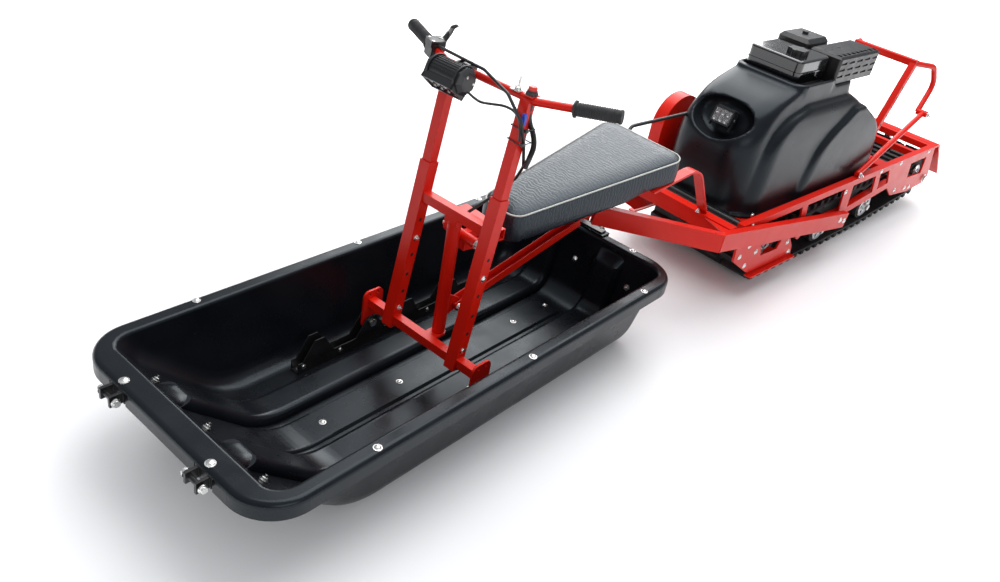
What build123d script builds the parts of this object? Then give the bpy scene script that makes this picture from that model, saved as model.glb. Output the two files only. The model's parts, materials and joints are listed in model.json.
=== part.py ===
from build123d import *
import math
import os

# Articulated motorized snow tow: a cargo sled with a steering frame in front,
# a vertical kingpin, and a tracked power unit with a seat behind it.
# Frame: X forward along the power unit, Y left, Z up, millimetres.
# The origin is on the ground on the kingpin's axis.
# The front group is drawn straight and then turned about the kingpin.

# Steering and the sled's pitch
STEER_AT_REST = 5.2
PITCH_X = 77.0
PITCH_Z = 95.0
PITCH_Y = 240.0

# Cargo sled
SLED_FRONT = 962.0
SLED_REAR = -799.0
SLED_WIDTH = 800.0
RIM_TOP = 300.0
RIM_FLANGE = 42.0
RIM_LIP = 50.0
RIM_CORNER = 130.0
TUB_WALL = 6.0
KEEL_THICKNESS = 8.0
KEEL_WIDTH = 60.0
RIM_ROUND = 16.0
RIM_BEAD = 10.0
SIDE_LEAN = 47.0
TUB_CORNER = 60.0
RIDGE_Y = 138.0
RIDGE_WIDTH = 112.0
RIDGE_HEIGHT = 30.0
RIDGE_ROUND = 24.0
RIDGE_END_Z = 236.0
PANEL_HALF = 60.0
PANEL_HEIGHT = 8.0
PANEL_FRONT = 470.0
PANEL_REAR = -610.0
RAIL_FRONT = 372.0
RAIL_REAR = -458.0
RAIL_WIDTH = 36.0
RAIL_WALL = 4.0
RAIL_HEIGHT = 38.0
HUMP_HEIGHT = 104.0
HUMP_HALF = 62.0
CLEVIS_Y = 183.0
CLEVIS_GAP = 34.0

# Steering frame and handlebar
UPRIGHT_X = 76.0
UPRIGHT_FOOT = 136.0
UPRIGHT_LEAN = 8.7
UPRIGHT_Y = 140.0
OUTER_TUBE = 40.0
INNER_TUBE = 32.0
BAR_TUBE = 30.0
UPRIGHT_STEP = 693.0
HANDLEBAR_Z = 980.0
MID_BAR_Z = 588.0
CROSS_TUBE_Z = 165.0
CHEEK_THICKNESS = 8.0
CHEEK_TOP = 208.0
BAR_RADIUS = 11.0
BAR_BEND_Y = 165.0
GRIP_END_Y = 380.0
GRIP_SWEEP = 77.0
GRIP_RISE = 26.0
GRIP_LENGTH = 125.0
GRIP_RADIUS = 17.0
LAMP_INNER_Y = -150.0
LAMP_LENGTH = 118.0
CABLE_RADIUS = 4.5

# Kingpin, seat beam and hitch
KINGPIN_RADIUS = 21.0
KINGPIN_BOLT = 8.0
KINGPIN_PLAY = 0.3
KINGPIN_LOW = 160.0
KINGPIN_TOP = 552.0
TAB_THICKNESS = 8.0
BEAM_SIZE = 36.0
SEAT_REST_X = -196.0
SEAT_PLAY = 0.3
BARREL_X = -36.0
BARREL_Z = 503.0
BARREL_HALF = 67.0
BARREL_RADIUS = 17.0
STEP_TUBE_X = -110.0
STEP_TUBE_Z = 525.0
STEP_TUBE_HALF = 88.0
BRACE_DEPTH = 26.0
BRACE_X = -48.0
BRACE_Z = 248.0
BRACE_BOLT = 6.0
APEX_X = -660.0
ELBOW_X = -1040.0
ARM_END = -2165.0
ARM_DEPTH = 72.0
ARM_THICKNESS = 30.0
ARM_SLOPE = 9.2
ARM_ELBOW_TOP = 404.0

# Seat
SEAT_FRONT = -178.0
SEAT_REAR = -882.0
SEAT_FRONT_TOP = 560.0
SEAT_REAR_TOP = 669.0
SEAT_THICKNESS = 74.0
SEAT_NOSE_HALF = 78.0
SEAT_TAIL_HALF = 180.0
CONDUIT_RADIUS = 7.0
SEAT_BOARD = 6.0

# Track and its wheels
TRACK_WIDTH = 500.0
BELT = 10.0
LUG_HEIGHT = 22.0
LUG_PITCH = 64.0
LUG_WIDTH = 26.0
LUG_EDGE = 130.0
LUG_MIDDLE = 110.0
DRIVE_X = -1600.0
DRIVE_R = 133.0
ROAD_X = (-2140.0, -2600.0)
ROAD_LIFT = (0.0, 13.0)
ROAD_R = 100.0
CROSS_TUBE_X = (-1800.0, -2860.0)
CROSS_TUBE_HEIGHT = 190.0
IDLER_X = -3140.0
IDLER_Z = 180.0
IDLER_R = 125.0
AXLE_R = 14.0
WHEEL_WIDTH = 40.0
WHEEL_Y = TRACK_WIDTH / 2 - 35.0
HUB_R = 46.0
WHEEL_PLAY = 0.3

# Power unit frame
TRACK_SIDE_GAP = 12.0
FRAME_INNER = TRACK_WIDTH / 2 + TRACK_SIDE_GAP
FRAME_WIDTH = 30.0
BRACKET_PLATE = 9.0
ARM_Y = FRAME_INNER + FRAME_WIDTH + BRACKET_PLATE + ARM_THICKNESS / 2
TOP_RAIL_Z = 352.0
TOP_RAIL_FRONT = -1254.0
TOP_RAIL_REAR = -3115.0
RAIL_TUBE = 30.0
PLATE = 5.0
DECK_Z = 318.0
DECK_FRONT = -1320.0
DECK_REAR = -2490.0
HANDLE_FOOT_X = -2526.0
HANDLE_TOP = (-2730.0, 800.0)
HANDLE_POST_Y = 145.0
HANDLE_TUBE = 30.0
STRUT_FOOT_X = -2220.0
STRUT_TOP = (-2862.0, 565.0)
GRAB_Y = 210.0
TUBE_RADIUS = 13.0

# Hood and engine
HOOD_WALL = 5.0
HOOD_BASE = DECK_Z + PLATE
HOOD_SIDE_GAP = 18.0
HOOD_SIDE = FRAME_INNER - HOOD_SIDE_GAP
HOOD_DOME = (
    # height, front x, rear x, half width, corner radius
    (HOOD_BASE, -1326.0, -2470.0, HOOD_SIDE - 48.0, 120.0),
    (590.0, -1302.0, -2360.0, 181.0, 112.0),
    (700.0, -1362.0, -2165.0, 170.0, 100.0),
    (760.0, -1450.0, -2120.0, 163.0, 82.0),
    (812.0, -1610.0, -2105.0, 156.0, 60.0),
)
HOOD_SHOULDER = (
    # height, front x, rear x, half width, corner radius
    (HOOD_BASE, -1350.0, -2472.0, HOOD_SIDE - 18.0, 125.0),
    (590.0, -1402.0, -2385.0, HOOD_SIDE - 31.0, 100.0),
    (690.0, -1510.0, -2215.0, HOOD_SIDE - 44.0, 80.0),
    (735.0, -1680.0, -2110.0, HOOD_SIDE - 60.0, 55.0),
)
HOOD_FLANK = (
    # height, front x, rear x, half width, corner radius
    (HOOD_BASE, -1700.0, -2476.0, HOOD_SIDE, 90.0),
    (560.0, -1815.0, -2410.0, HOOD_SIDE - 8.0, 70.0),
    (690.0, -2080.0, -2190.0, HOOD_SIDE - 24.0, 30.0),
)
HOOD_VOID = (
    # height, front x, rear x, half width, corner radius
    (HOOD_BASE - 1.0, -1357.0, -2465.0, HOOD_SIDE - 23.0, 120.0),
    (590.0, -1409.0, -2354.0, 176.0, 100.0),
    (813.0, -1616.0, -2100.0, 151.0, 55.0),
)
LAMP_CENTER = (-1345.0, 0.0, 690.0)
LAMP_TILT = 23.0
LAMP_HALF_WIDTH = 118.0
LAMP_HALF_HEIGHT = 88.0
LAMP_DEPTH = 75.0
LAMP_START = 60.0
LAMP_TAPER = 12.0
HOOD_STEP_X = -1892.0
ENGINE_FRONT = -1640.0
ENGINE_REAR = -2085.0
ENGINE_RIGHT = -138.0
ENGINE_LEFT = 120.0
TANK_TOP = 900.0
TANK_HEIGHT = 102.0
ENGINE_TOP = TANK_TOP - TANK_HEIGHT
HOOD_STEP_Z = ENGINE_TOP - 8.0
TANK_FRONT = -1660.0
TANK_REAR = -1900.0
TANK_RIGHT = -140.0
TANK_LEFT = 104.0
CAP_PLACE = (-1765.0, 20.0)
CAP_RADIUS = 36.0
CAP_HEIGHT = 18.0
MUFFLER_FRONT = -1905.0
MUFFLER_REAR = -2260.0
MUFFLER_LEFT = 150.0
MUFFLER_TOP = ENGINE_TOP + 110.0
AIR_BOX_REAR = -2090.0
AIR_BOX_RIGHT = -160.0
AIR_BOX_TOP = ENGINE_TOP + 128.0
GUARD_X = -1500.0
GUARD_Z = 520.0
GUARD_RADIUS = 130.0
GUARD_DEPTH = 55.0

FRONT_TURN = Rot(0, 0, STEER_AT_REST)


def block(x0, x1, y0, y1, z0, z1):
    center = ((x0 + x1) / 2, (y0 + y1) / 2, (z0 + z1) / 2)
    return Pos(*center) * Box(abs(x1 - x0), abs(y1 - y0), abs(z1 - z0))


def beam(start, end, width, depth, wall=0.0):
    """Square or flat bar between two points, hollow where a wall is given."""
    start = Vector(*start)
    run = Vector(*end) - start
    side = Vector(0, 0, 1).cross(run)
    if side.length < 1e-6:
        side = Vector(0, 1, 0)
    plane = Plane(origin=start, x_dir=side, z_dir=run)
    section = Rectangle(width, depth)
    if wall:
        section -= Rectangle(width - 2 * wall, depth - 2 * wall)
    return extrude(plane * section, run.length)


def rod(start, end, radius, bore=0.0):
    """Round bar between two points, bored where a bore radius is given."""
    start = Vector(*start)
    run = Vector(*end) - start
    section = Circle(radius)
    if bore:
        section -= Circle(bore)
    return extrude(Plane(origin=start, z_dir=run) * section, run.length)


def side_plate(points, y0, y1):
    """Plate with a side outline of (x, z) points, from y0 to y1."""
    plane = Plane(origin=(0, max(y0, y1), 0), x_dir=(1, 0, 0), z_dir=(0, -1, 0))
    return extrude(plane * Polygon(*points, align=None), abs(y1 - y0), dir=(0, -1, 0))


def flat_plate(points, z0, z1):
    """Level plate with an outline of (x, y) points, from z0 to z1."""
    return extrude(Pos(0, 0, z0) * Polygon(*points, align=None), z1 - z0, dir=(0, 0, 1))


def both_sides(shape):
    return [shape, mirror(shape, about=Plane.XZ)]


def rounded(x0, x1, half_width, radius, z):
    """Level rounded rectangle between two x values."""
    center = Pos((x0 + x1) / 2, 0, z)
    return center * RectangleRounded(abs(x1 - x0), 2 * half_width, radius)


def rounded_outline(corners):
    """Closed outline of (x, z, corner radius) rows."""
    face = Polygon(*[(x, z) for x, z, radius in corners], align=None)
    for x, z, radius in corners:
        if radius:
            corner = face.vertices().sort_by_distance((x, z, 0))[0]
            face = fillet(corner, radius)
    return face


def on_side(face, y0, y1):
    """Solid from a side outline, between two y values."""
    plane = Plane(origin=(0, max(y0, y1), 0), x_dir=(1, 0, 0), z_dir=(0, -1, 0))
    return extrude(plane * face, abs(y1 - y0), dir=(0, -1, 0))


def cord(points, bend, radius):
    """Round cord along a line of points with arcs at its bends."""
    path = FilletPolyline(*points, radius=bend)
    return sweep(Plane(origin=path @ 0, z_dir=path % 0) * Circle(radius), path)


def upright_x(z):
    return UPRIGHT_X - (z - UPRIGHT_FOOT) * math.tan(math.radians(UPRIGHT_LEAN))


# Sled

FLOOR = KEEL_THICKNESS + TUB_WALL


def tub_outline(inset):
    """Side outline of the tub with its flat floor, raked front and steep rear."""
    high = RIM_TOP + TUB_WALL
    corners = (
        # x, z, corner radius
        (SLED_REAR + RIM_FLANGE - 2, high, 0),
        (SLED_REAR + 88, KEEL_THICKNESS, 90),
        (SLED_FRONT - 352, KEEL_THICKNESS, 240),
        (SLED_FRONT - 112, 220, 110),
        (SLED_FRONT - RIM_FLANGE - 14, high, 0),
    )
    face = rounded_outline(corners)
    return offset(face, -inset, kind=Kind.INTERSECTION) if inset else face


def tub_solid(inset):
    """Side outline and cross section together, with all lower corners rounded."""
    half = SLED_WIDTH / 2
    top = half - RIM_FLANGE + 1 - inset
    low = top - SIDE_LEAN
    high = RIM_TOP + TUB_WALL
    section = Polygon((-top, high), (-low, KEEL_THICKNESS), (low, KEEL_THICKNESS), (top, high), align=None)
    plane = Plane(origin=(SLED_REAR, 0, 0), x_dir=(0, 1, 0), z_dir=(1, 0, 0))
    solid = on_side(tub_outline(inset), -half, half) & extrude(plane * section, SLED_FRONT - SLED_REAR)
    edges = []
    for face in solid.faces():
        if abs(face.normal_at().Y) > 0.9:
            edges += [edge for edge in face.edges() if edge.bounding_box().min.Z < RIM_TOP - 5]
    return fillet(edges, TUB_CORNER - inset)


def rim_solid(inset):
    """Block of the rim, drawn smaller by a given amount."""
    low = RIM_TOP - RIM_LIP
    half = SLED_WIDTH / 2 - inset
    face = rounded(SLED_REAR + inset, SLED_FRONT - inset, half, RIM_CORNER - inset, low)
    return extrude(face, RIM_LIP - inset)


def ridge(inset, height, width, round_radius, end_z):
    """Strip along the tub's outline, its two long upper edges rounded."""
    upper = tub_outline(inset + height)
    strip = on_side(tub_outline(inset) - upper, -width / 2, width / 2)
    strip &= block(SLED_REAR, SLED_FRONT, -width, width, 0, end_z)
    edges = []
    for edge in strip.edges():
        middle = edge @ 0.5
        lengthwise = abs((edge @ 0).Y - (edge @ 1).Y) < 0.1
        if lengthwise and upper.wire().distance_to(Vertex(middle.X, middle.Z, 0)) < 0.5:
            edges.append(edge)
    return fillet(edges, round_radius)


def sled_tub():
    half = SLED_WIDTH / 2
    below = block(SLED_REAR, SLED_FRONT, -half, half, 0, RIM_TOP)
    bead = block(SLED_REAR, SLED_FRONT, -half, half, RIM_TOP - RIM_ROUND, RIM_TOP)
    tub = (tub_solid(0) & below) + (tub_solid(-RIM_BEAD) & bead)
    rim = rim_solid(0)
    rim = fillet(rim.faces().sort_by(Axis.Z)[-1].edges(), RIM_ROUND)
    tub += rim - chamfer(rim_solid(TUB_WALL).faces().sort_by(Axis.Z)[-1].edges(), RIM_ROUND - TUB_WALL)
    tub -= tub_solid(TUB_WALL)
    level = [face for face in tub.faces() if abs(face.center().Z - RIM_TOP) < 0.01]
    top = max(level, key=lambda face: face.area)
    tub = fillet(top.inner_wires()[0].edges(), RIM_ROUND - 4)
    strip = ridge(TUB_WALL - 1, RIDGE_HEIGHT + 1, RIDGE_WIDTH, RIDGE_ROUND, RIDGE_END_Z)
    groove = ridge(-2, RIDGE_HEIGHT + 2, RIDGE_WIDTH - 2 * TUB_WALL, RIDGE_ROUND - TUB_WALL,
                   RIDGE_END_Z - TUB_WALL)
    lip = block(SLED_FRONT - 12, SLED_FRONT + 1, -35, 35, RIM_TOP - RIM_LIP - 1, RIM_TOP - TUB_WALL - 4)
    for side in (-1, 1):
        tub += Pos(0, side * RIDGE_Y, 0) * strip
        tub -= Pos(0, side * RIDGE_Y, 0) * groove
        tub -= Pos(0, side * CLEVIS_Y, 0) * lip
    panel = block(PANEL_REAR, PANEL_FRONT, -PANEL_HALF, PANEL_HALF, FLOOR - 2, FLOOR + PANEL_HEIGHT)
    panel = chamfer(panel.faces().sort_by(Axis.Z)[-1].edges(), PANEL_HEIGHT - 1)
    return tub + panel


def sled_keels():
    front = SLED_FRONT - 420
    rear = SLED_REAR + 170
    keels = []
    for y in (-PITCH_Y, 0, PITCH_Y):
        keels.append(block(rear, front, y - KEEL_WIDTH / 2, y + KEEL_WIDTH / 2, 0, KEEL_THICKNESS))
    return keels


def sled_rail():
    """U-channel with pointed humps, on the left side of the floor."""
    hump_x = (292.0, PITCH_X, -86.0, -300.0)
    top = FLOOR + RAIL_HEIGHT
    rail = block(RAIL_REAR, RAIL_FRONT, -RAIL_WIDTH / 2, RAIL_WIDTH / 2, FLOOR, top)
    for x in hump_x:
        outline = ((x - HUMP_HALF, top), (x + HUMP_HALF, top),
                   (x + 18, FLOOR + HUMP_HEIGHT), (x - 18, FLOOR + HUMP_HEIGHT))
        rail += side_plate(outline, -RAIL_WIDTH / 2, RAIL_WIDTH / 2)
    gap = RAIL_WIDTH / 2 - RAIL_WALL
    rail -= block(RAIL_REAR - 1, RAIL_FRONT + 1, -gap, gap, FLOOR + RAIL_WALL, FLOOR + HUMP_HEIGHT + 1)
    bore = rod((PITCH_X, -RAIL_WIDTH, PITCH_Z), (PITCH_X, RAIL_WIDTH, PITCH_Z), KINGPIN_BOLT + KINGPIN_PLAY)
    return Pos(0, PITCH_Y, 0) * (rail - bore)


def sled_clevis():
    """Front towing clevis with its cross pin, at the middle of the rim."""
    base = block(SLED_FRONT - 4, SLED_FRONT, -30, 30, RIM_TOP - 46, RIM_TOP - 10)
    clevis = base
    for side in (-1, 1):
        ear = block(SLED_FRONT, SLED_FRONT + 34, -4, 4, RIM_TOP - 44, RIM_TOP - 12)
        clevis += Pos(0, side * (CLEVIS_GAP / 2 + 4), 0) * ear
    pin_z = RIM_TOP - 28
    reach = CLEVIS_GAP / 2 + 16
    return clevis + rod((SLED_FRONT + 22, -reach, pin_z), (SLED_FRONT + 22, reach, pin_z), 7)


def sled_latch():
    """Folded plate over the rear rim."""
    plate = block(SLED_REAR - 4, SLED_REAR + 40, -75, 75, RIM_TOP, RIM_TOP + 6)
    apron = block(SLED_REAR - 4, SLED_REAR, -75, 75, RIM_TOP - 40, RIM_TOP + 6)
    return plate + apron


# Steering frame

def pitch_bolt():
    reach = RAIL_WIDTH / 2 + 10
    head = RAIL_WIDTH / 2
    bolt = rod((PITCH_X, -reach, PITCH_Z), (PITCH_X, reach, PITCH_Z), KINGPIN_BOLT)
    for side in (-1, 1):
        bolt += rod((PITCH_X, side * (head + 0.5), PITCH_Z), (PITCH_X, side * reach, PITCH_Z), 13)
    return Pos(0, PITCH_Y, 0) * bolt


def cheek_plate():
    """Round-cornered plate that hangs on the pitch bolt, left side."""
    corners = (
        # x, z, corner radius
        (PITCH_X + 28, PITCH_Z - 26, 22),
        (PITCH_X + 28, CHEEK_TOP, 22),
        (PITCH_X - 53, CHEEK_TOP, 22),
        (PITCH_X - 53, CROSS_TUBE_Z - 30, 12),
        (PITCH_X - 26, PITCH_Z - 26, 20),
    )
    plate = on_side(rounded_outline(corners), -CHEEK_THICKNESS / 2, CHEEK_THICKNESS / 2)
    for x in (PITCH_X - 32, PITCH_X + 4):
        plate -= rod((x, -20, CHEEK_TOP - 14), (x, 20, CHEEK_TOP - 14), 5)
    plate -= rod((PITCH_X, -20, PITCH_Z), (PITCH_X, 20, PITCH_Z), KINGPIN_BOLT)
    return Pos(0, PITCH_Y, 0) * plate


def kingpin_tab(z0, z1, reach):
    tab = block(0, reach, -24, 24, z0, z1) + Pos(0, 0, (z0 + z1) / 2) * Cylinder(24, z1 - z0)
    return tab - Pos(0, 0, (z0 + z1) / 2) * Cylinder(KINGPIN_BOLT, 2 * (z1 - z0))


def steering_frame():
    frame = Part()
    foot_x = upright_x(UPRIGHT_FOOT)
    step_x = upright_x(UPRIGHT_STEP)
    half = BAR_TUBE / 2
    for side in (-1, 1):
        y = side * UPRIGHT_Y
        frame += beam((foot_x, y, UPRIGHT_FOOT), (step_x, y, UPRIGHT_STEP), OUTER_TUBE, OUTER_TUBE, 2.5)
    cross_x = upright_x(CROSS_TUBE_Z)
    reach = PITCH_Y - CHEEK_THICKNESS / 2
    frame += beam((cross_x, -reach, CROSS_TUBE_Z), (cross_x, reach, CROSS_TUBE_Z), BAR_TUBE, BAR_TUBE)
    mid_x = upright_x(MID_BAR_Z)
    span = UPRIGHT_Y - OUTER_TUBE / 2 + 1
    frame += beam((mid_x, -span, MID_BAR_Z), (mid_x, span, MID_BAR_Z), BAR_TUBE, BAR_TUBE)
    for side in (-1, 1):
        y = side * UPRIGHT_Y
        sleeve = beam((foot_x, y, UPRIGHT_FOOT), (step_x, y, UPRIGHT_STEP), INNER_TUBE + 1, INNER_TUBE + 1)
        frame -= sleeve
    low = KINGPIN_LOW - 0.5
    frame += kingpin_tab(low - TAB_THICKNESS, low, cross_x - half + 1)
    top = KINGPIN_TOP + 0.5
    frame += kingpin_tab(top, top + TAB_THICKNESS, mid_x + half)
    frame += block(mid_x - 12, mid_x + half, -24, 24, top, MID_BAR_Z - half + 1) - Cylinder(16, 4000)
    return frame


def handlebar():
    """Upper telescopic tubes with the swept handlebar."""
    bar = Part()
    low_z = UPRIGHT_STEP - 120
    top_x = upright_x(HANDLEBAR_Z)
    for side in (-1, 1):
        y = side * UPRIGHT_Y
        bar += beam((upright_x(low_z), y, low_z), (top_x, y, HANDLEBAR_Z), INNER_TUBE, INNER_TUBE)
        bend = (top_x, side * BAR_BEND_Y, HANDLEBAR_Z)
        end = (top_x - GRIP_SWEEP, side * GRIP_END_Y, HANDLEBAR_Z + GRIP_RISE)
        bar += rod(bend, end, BAR_RADIUS)
        bar += Pos(*bend) * Sphere(BAR_RADIUS)
    bar += rod((top_x, -BAR_BEND_Y, HANDLEBAR_Z), (top_x, BAR_BEND_Y, HANDLEBAR_Z), BAR_RADIUS)
    return bar


def grip_line(distance):
    """Point on the left grip's axis, measured inwards from the bar's end."""
    top_x = upright_x(HANDLEBAR_Z)
    bend = Vector(top_x, BAR_BEND_Y, HANDLEBAR_Z)
    end = Vector(top_x - GRIP_SWEEP, GRIP_END_Y, HANDLEBAR_Z + GRIP_RISE)
    return end + (bend - end).normalized() * distance


def grip():
    start = grip_line(-6)
    end = grip_line(GRIP_LENGTH)
    sleeve = rod(start, end, GRIP_RADIUS) - rod(grip_line(0), grip_line(GRIP_LENGTH + 1), BAR_RADIUS)
    return sleeve


def on_right(distance):
    point = grip_line(distance)
    return Vector(point.X, -point.Y, point.Z)


def throttle_housing():
    start = on_right(GRIP_LENGTH + 1)
    end = on_right(GRIP_LENGTH + 45)
    housing = beam(start, end, 42, 48) - rod(start, end, BAR_RADIUS)
    return housing


def throttle_lever():
    along = (on_right(0) - on_right(GRIP_LENGTH)).normalized()
    side = along.cross(Vector(0, 0, 1))
    base = on_right(GRIP_LENGTH + 22) + side * 21.3 + Vector(0, 0, 6)
    tip = base + side * 34 + along * 24 + Vector(0, 0, 30)
    return beam(base, tip, 16, 7) - beam(on_right(GRIP_LENGTH - 20), on_right(GRIP_LENGTH + 60), 42.4, 60)


def handlebar_lamp():
    """Finned lamp in front of the bar with its clamp."""
    top_x = upright_x(HANDLEBAR_Z)
    lamp_x = top_x + 62
    y0 = LAMP_INNER_Y
    y1 = y0 + LAMP_LENGTH
    body = rod((lamp_x, y0, HANDLEBAR_Z - 6), (lamp_x, y1, HANDLEBAR_Z - 6), 34)
    fins = rod((lamp_x, y0 + 8, HANDLEBAR_Z - 6), (lamp_x, y1 - 8, HANDLEBAR_Z - 6), 38)
    mid = (y0 + y1) / 2
    clamp = block(top_x - 18, lamp_x - 20, mid - 12, mid + 12, HANDLEBAR_Z - 17, HANDLEBAR_Z + 17)
    clamp -= rod((top_x, mid - 20, HANDLEBAR_Z), (top_x, mid + 20, HANDLEBAR_Z), BAR_RADIUS)
    return body + fins + clamp


def switch_tab(y):
    """Small tab on top of the bar, with the switch standing on it."""
    top_x = upright_x(HANDLEBAR_Z)
    low = HANDLEBAR_Z + BAR_RADIUS
    return block(top_x - 16, top_x + 16, y - 16, y + 16, low, low + 3)


def toggle_switch():
    top_x = upright_x(HANDLEBAR_Z)
    top = HANDLEBAR_Z + BAR_RADIUS + 3
    y = UPRIGHT_Y - 40
    switch = switch_tab(y) + rod((top_x, y, top), (top_x, y, top + 10), 8)
    return switch + rod((top_x, y, top + 10), (top_x - 4, y, top + 26), 3)


def stop_button():
    top_x = upright_x(HANDLEBAR_Z)
    top = HANDLEBAR_Z + BAR_RADIUS + 3
    y = UPRIGHT_Y + 8
    switch = switch_tab(y) + rod((top_x, y, top), (top_x, y, top + 12), 13)
    return switch + rod((top_x, y, top + 12), (top_x, y, top + 22), 10)


def throttle_cable():
    """Cable from the throttle over the bar and down the left upright to the middle bar."""
    start = on_right(GRIP_LENGTH + 46) + Vector(1, 2, 15)
    mid_x = upright_x(MID_BAR_Z) - BAR_TUBE / 2
    points = (
        start, (-48, -20, HANDLEBAR_Z + 25), (-14, 100, HANDLEBAR_Z + 5), (-8, 166, HANDLEBAR_Z - 52),
        (-34, 168, HANDLEBAR_Z - 120), (-75, 150, HANDLEBAR_Z - 200), (-93, 120, HANDLEBAR_Z - 252),
        (-60, 60, MID_BAR_Z + 52), (mid_x - 4, 30, MID_BAR_Z + 8))
    return cord(points, 22, CABLE_RADIUS)


def kingpin_bolt():
    low = KINGPIN_LOW - 0.5 - TAB_THICKNESS
    top = KINGPIN_TOP + 0.5 + TAB_THICKNESS
    bolt = rod((0, 0, low - 14), (0, 0, top + 9), KINGPIN_BOLT)
    return bolt + rod((0, 0, low - 12), (0, 0, low), 13) + rod((0, 0, top), (0, 0, top + 9), 13)


# Kingpin, seat beam and hitch

def kingpin_tube():
    """Tube that turns on the kingpin bolt, with the transverse barrel and the foot gusset."""
    bore = KINGPIN_BOLT + KINGPIN_PLAY
    tube = rod((0, 0, KINGPIN_LOW), (0, 0, KINGPIN_TOP), KINGPIN_RADIUS)
    tube += rod((BARREL_X, -BARREL_HALF, BARREL_Z), (BARREL_X, BARREL_HALF, BARREL_Z), BARREL_RADIUS)
    gusset = ((-10, BRACE_Z - 40), (-58, BRACE_Z - 18), (-66, BRACE_Z + 18), (-10, BRACE_Z + 50))
    tube += side_plate(gusset, -4, 4)
    tube -= rod((BRACE_X, -20, BRACE_Z), (BRACE_X, 20, BRACE_Z), BRACE_BOLT + KINGPIN_PLAY)
    return tube - rod((0, 0, 0), (0, 0, 2000), bore)


def seat_bottom(x):
    share = (SEAT_FRONT - x) / (SEAT_FRONT - SEAT_REAR)
    return SEAT_FRONT_TOP + share * (SEAT_REAR_TOP - SEAT_FRONT_TOP) - SEAT_THICKNESS


def beam_height(x):
    """Centre of the seat beam, which falls from the seat's nose to the hitch's apex."""
    rest = seat_bottom(SEAT_REST_X) - SEAT_BOARD - SEAT_PLAY - BEAM_SIZE / 2 - 1
    rear_x = APEX_X + 10
    share = (SEAT_REST_X - x) / (SEAT_REST_X - rear_x)
    return rest + share * (beam_rear_height() - rest)


def hitch_height(x):
    """Top edge of the sloping hitch arms at a place along the unit."""
    return ARM_ELBOW_TOP + (x - ELBOW_X) * math.tan(math.radians(ARM_SLOPE))


def hitch_arm():
    """Left arm: from the apex under the seat to the elbow and back along the track."""
    half = ARM_THICKNESS / 2
    mid = ARM_DEPTH / 2
    elbow = (ELBOW_X, ARM_Y, hitch_height(ELBOW_X) - mid)
    end = (ARM_END, ARM_Y, hitch_height(ARM_END) - mid)
    apex = (APEX_X, 16, hitch_height(APEX_X) - mid)
    arm = beam(elbow, end, ARM_THICKNESS, ARM_DEPTH)
    arm += beam(apex, elbow, ARM_THICKNESS, ARM_DEPTH)
    arm += Pos(ELBOW_X, ARM_Y, hitch_height(ELBOW_X) - mid) * Cylinder(half, ARM_DEPTH)
    far_side = block(APEX_X - 400, APEX_X + 400, -400, 0.2, 0, 1000)
    return arm - far_side


def seat_beam():
    """Square tube under the seat, with its neck on the barrel and the open cross tube."""
    rear_x = APEX_X + 10
    tube = beam((BARREL_X, 0, beam_height(BARREL_X)), (rear_x, 0, beam_height(rear_x)), BEAM_SIZE, BEAM_SIZE)
    half = BEAM_SIZE / 2
    neck = block(STEP_TUBE_X - half, BARREL_X, -12, 12, beam_height(STEP_TUBE_X), BARREL_Z + 8)
    cross = beam((STEP_TUBE_X, -STEP_TUBE_HALF, STEP_TUBE_Z), (STEP_TUBE_X, STEP_TUBE_HALF, STEP_TUBE_Z),
                 BEAM_SIZE, BEAM_SIZE, 3)
    barrel = rod((BARREL_X, -100, BARREL_Z), (BARREL_X, 100, BARREL_Z), BARREL_RADIUS + SEAT_PLAY)
    return tube + neck + cross - barrel


def beam_rear_height():
    return hitch_height(APEX_X) - ARM_DEPTH / 2 + 10


def foot_brace():
    """Open channel from the kingpin's foot gusset up to the beam, with its bolt."""
    start = Vector(BRACE_X + 8, 0, BRACE_Z - 4)
    end_x = APEX_X + 70
    end = Vector(end_x, 0, beam_height(end_x) - BEAM_SIZE / 2 - BRACE_DEPTH / 2 + 0.4)
    web_start = start + (end - start).normalized() * 42
    legs = beam(start, end, BEAM_SIZE, BRACE_DEPTH) - beam(start, end, BEAM_SIZE - 8, 60)
    under = Vector(0, 0, 2 - BRACE_DEPTH / 2)
    web = beam(web_start + under, end + under, BEAM_SIZE, 4)
    bolt = rod((BRACE_X, -BEAM_SIZE / 2 - 8, BRACE_Z), (BRACE_X, BEAM_SIZE / 2 + 8, BRACE_Z), BRACE_BOLT)
    return legs + web + bolt


def cross_member():
    """Angle between the elbows that carries the seat loops and the front of the unit."""
    top = hitch_height(ELBOW_X - 90)
    x = ELBOW_X - 90
    reach = ARM_Y - ARM_THICKNESS / 2
    angle = block(x - 44, x, -reach, reach, top - 5, top) + block(x - 5, x, -reach, reach, top - 60, top)
    return angle


def elbow_gusset():
    top = hitch_height(ELBOW_X - 90)
    x = ELBOW_X - 44
    points = ((x, ARM_Y - 15), (x - 46, ARM_Y - 15), (x - 46, ARM_Y - 130))
    return flat_plate(points, top - 10, top - 5)


def seat_loop():
    """Flat bar that rises from the cross member and runs forward under the seat."""
    half = 4.0
    foot_x = ELBOW_X - 110
    foot_z = hitch_height(ELBOW_X - 90) + half + SEAT_PLAY
    drop = SEAT_BOARD + half + 2 * SEAT_PLAY
    rear = SEAT_REAR - 130
    front = SEAT_REAR + 130
    points = ((foot_x, foot_z), (rear, seat_bottom(rear) - drop), (front, seat_bottom(front) - drop))
    path = FilletPolyline(*points, radius=90)
    plane = Plane(origin=(0, 155, 0), x_dir=(1, 0, 0), z_dir=(0, -1, 0))
    ribbon = offset(path, half, side=Side.BOTH, closed=True)
    return extrude(plane * make_face(ribbon), 20, both=True)


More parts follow.
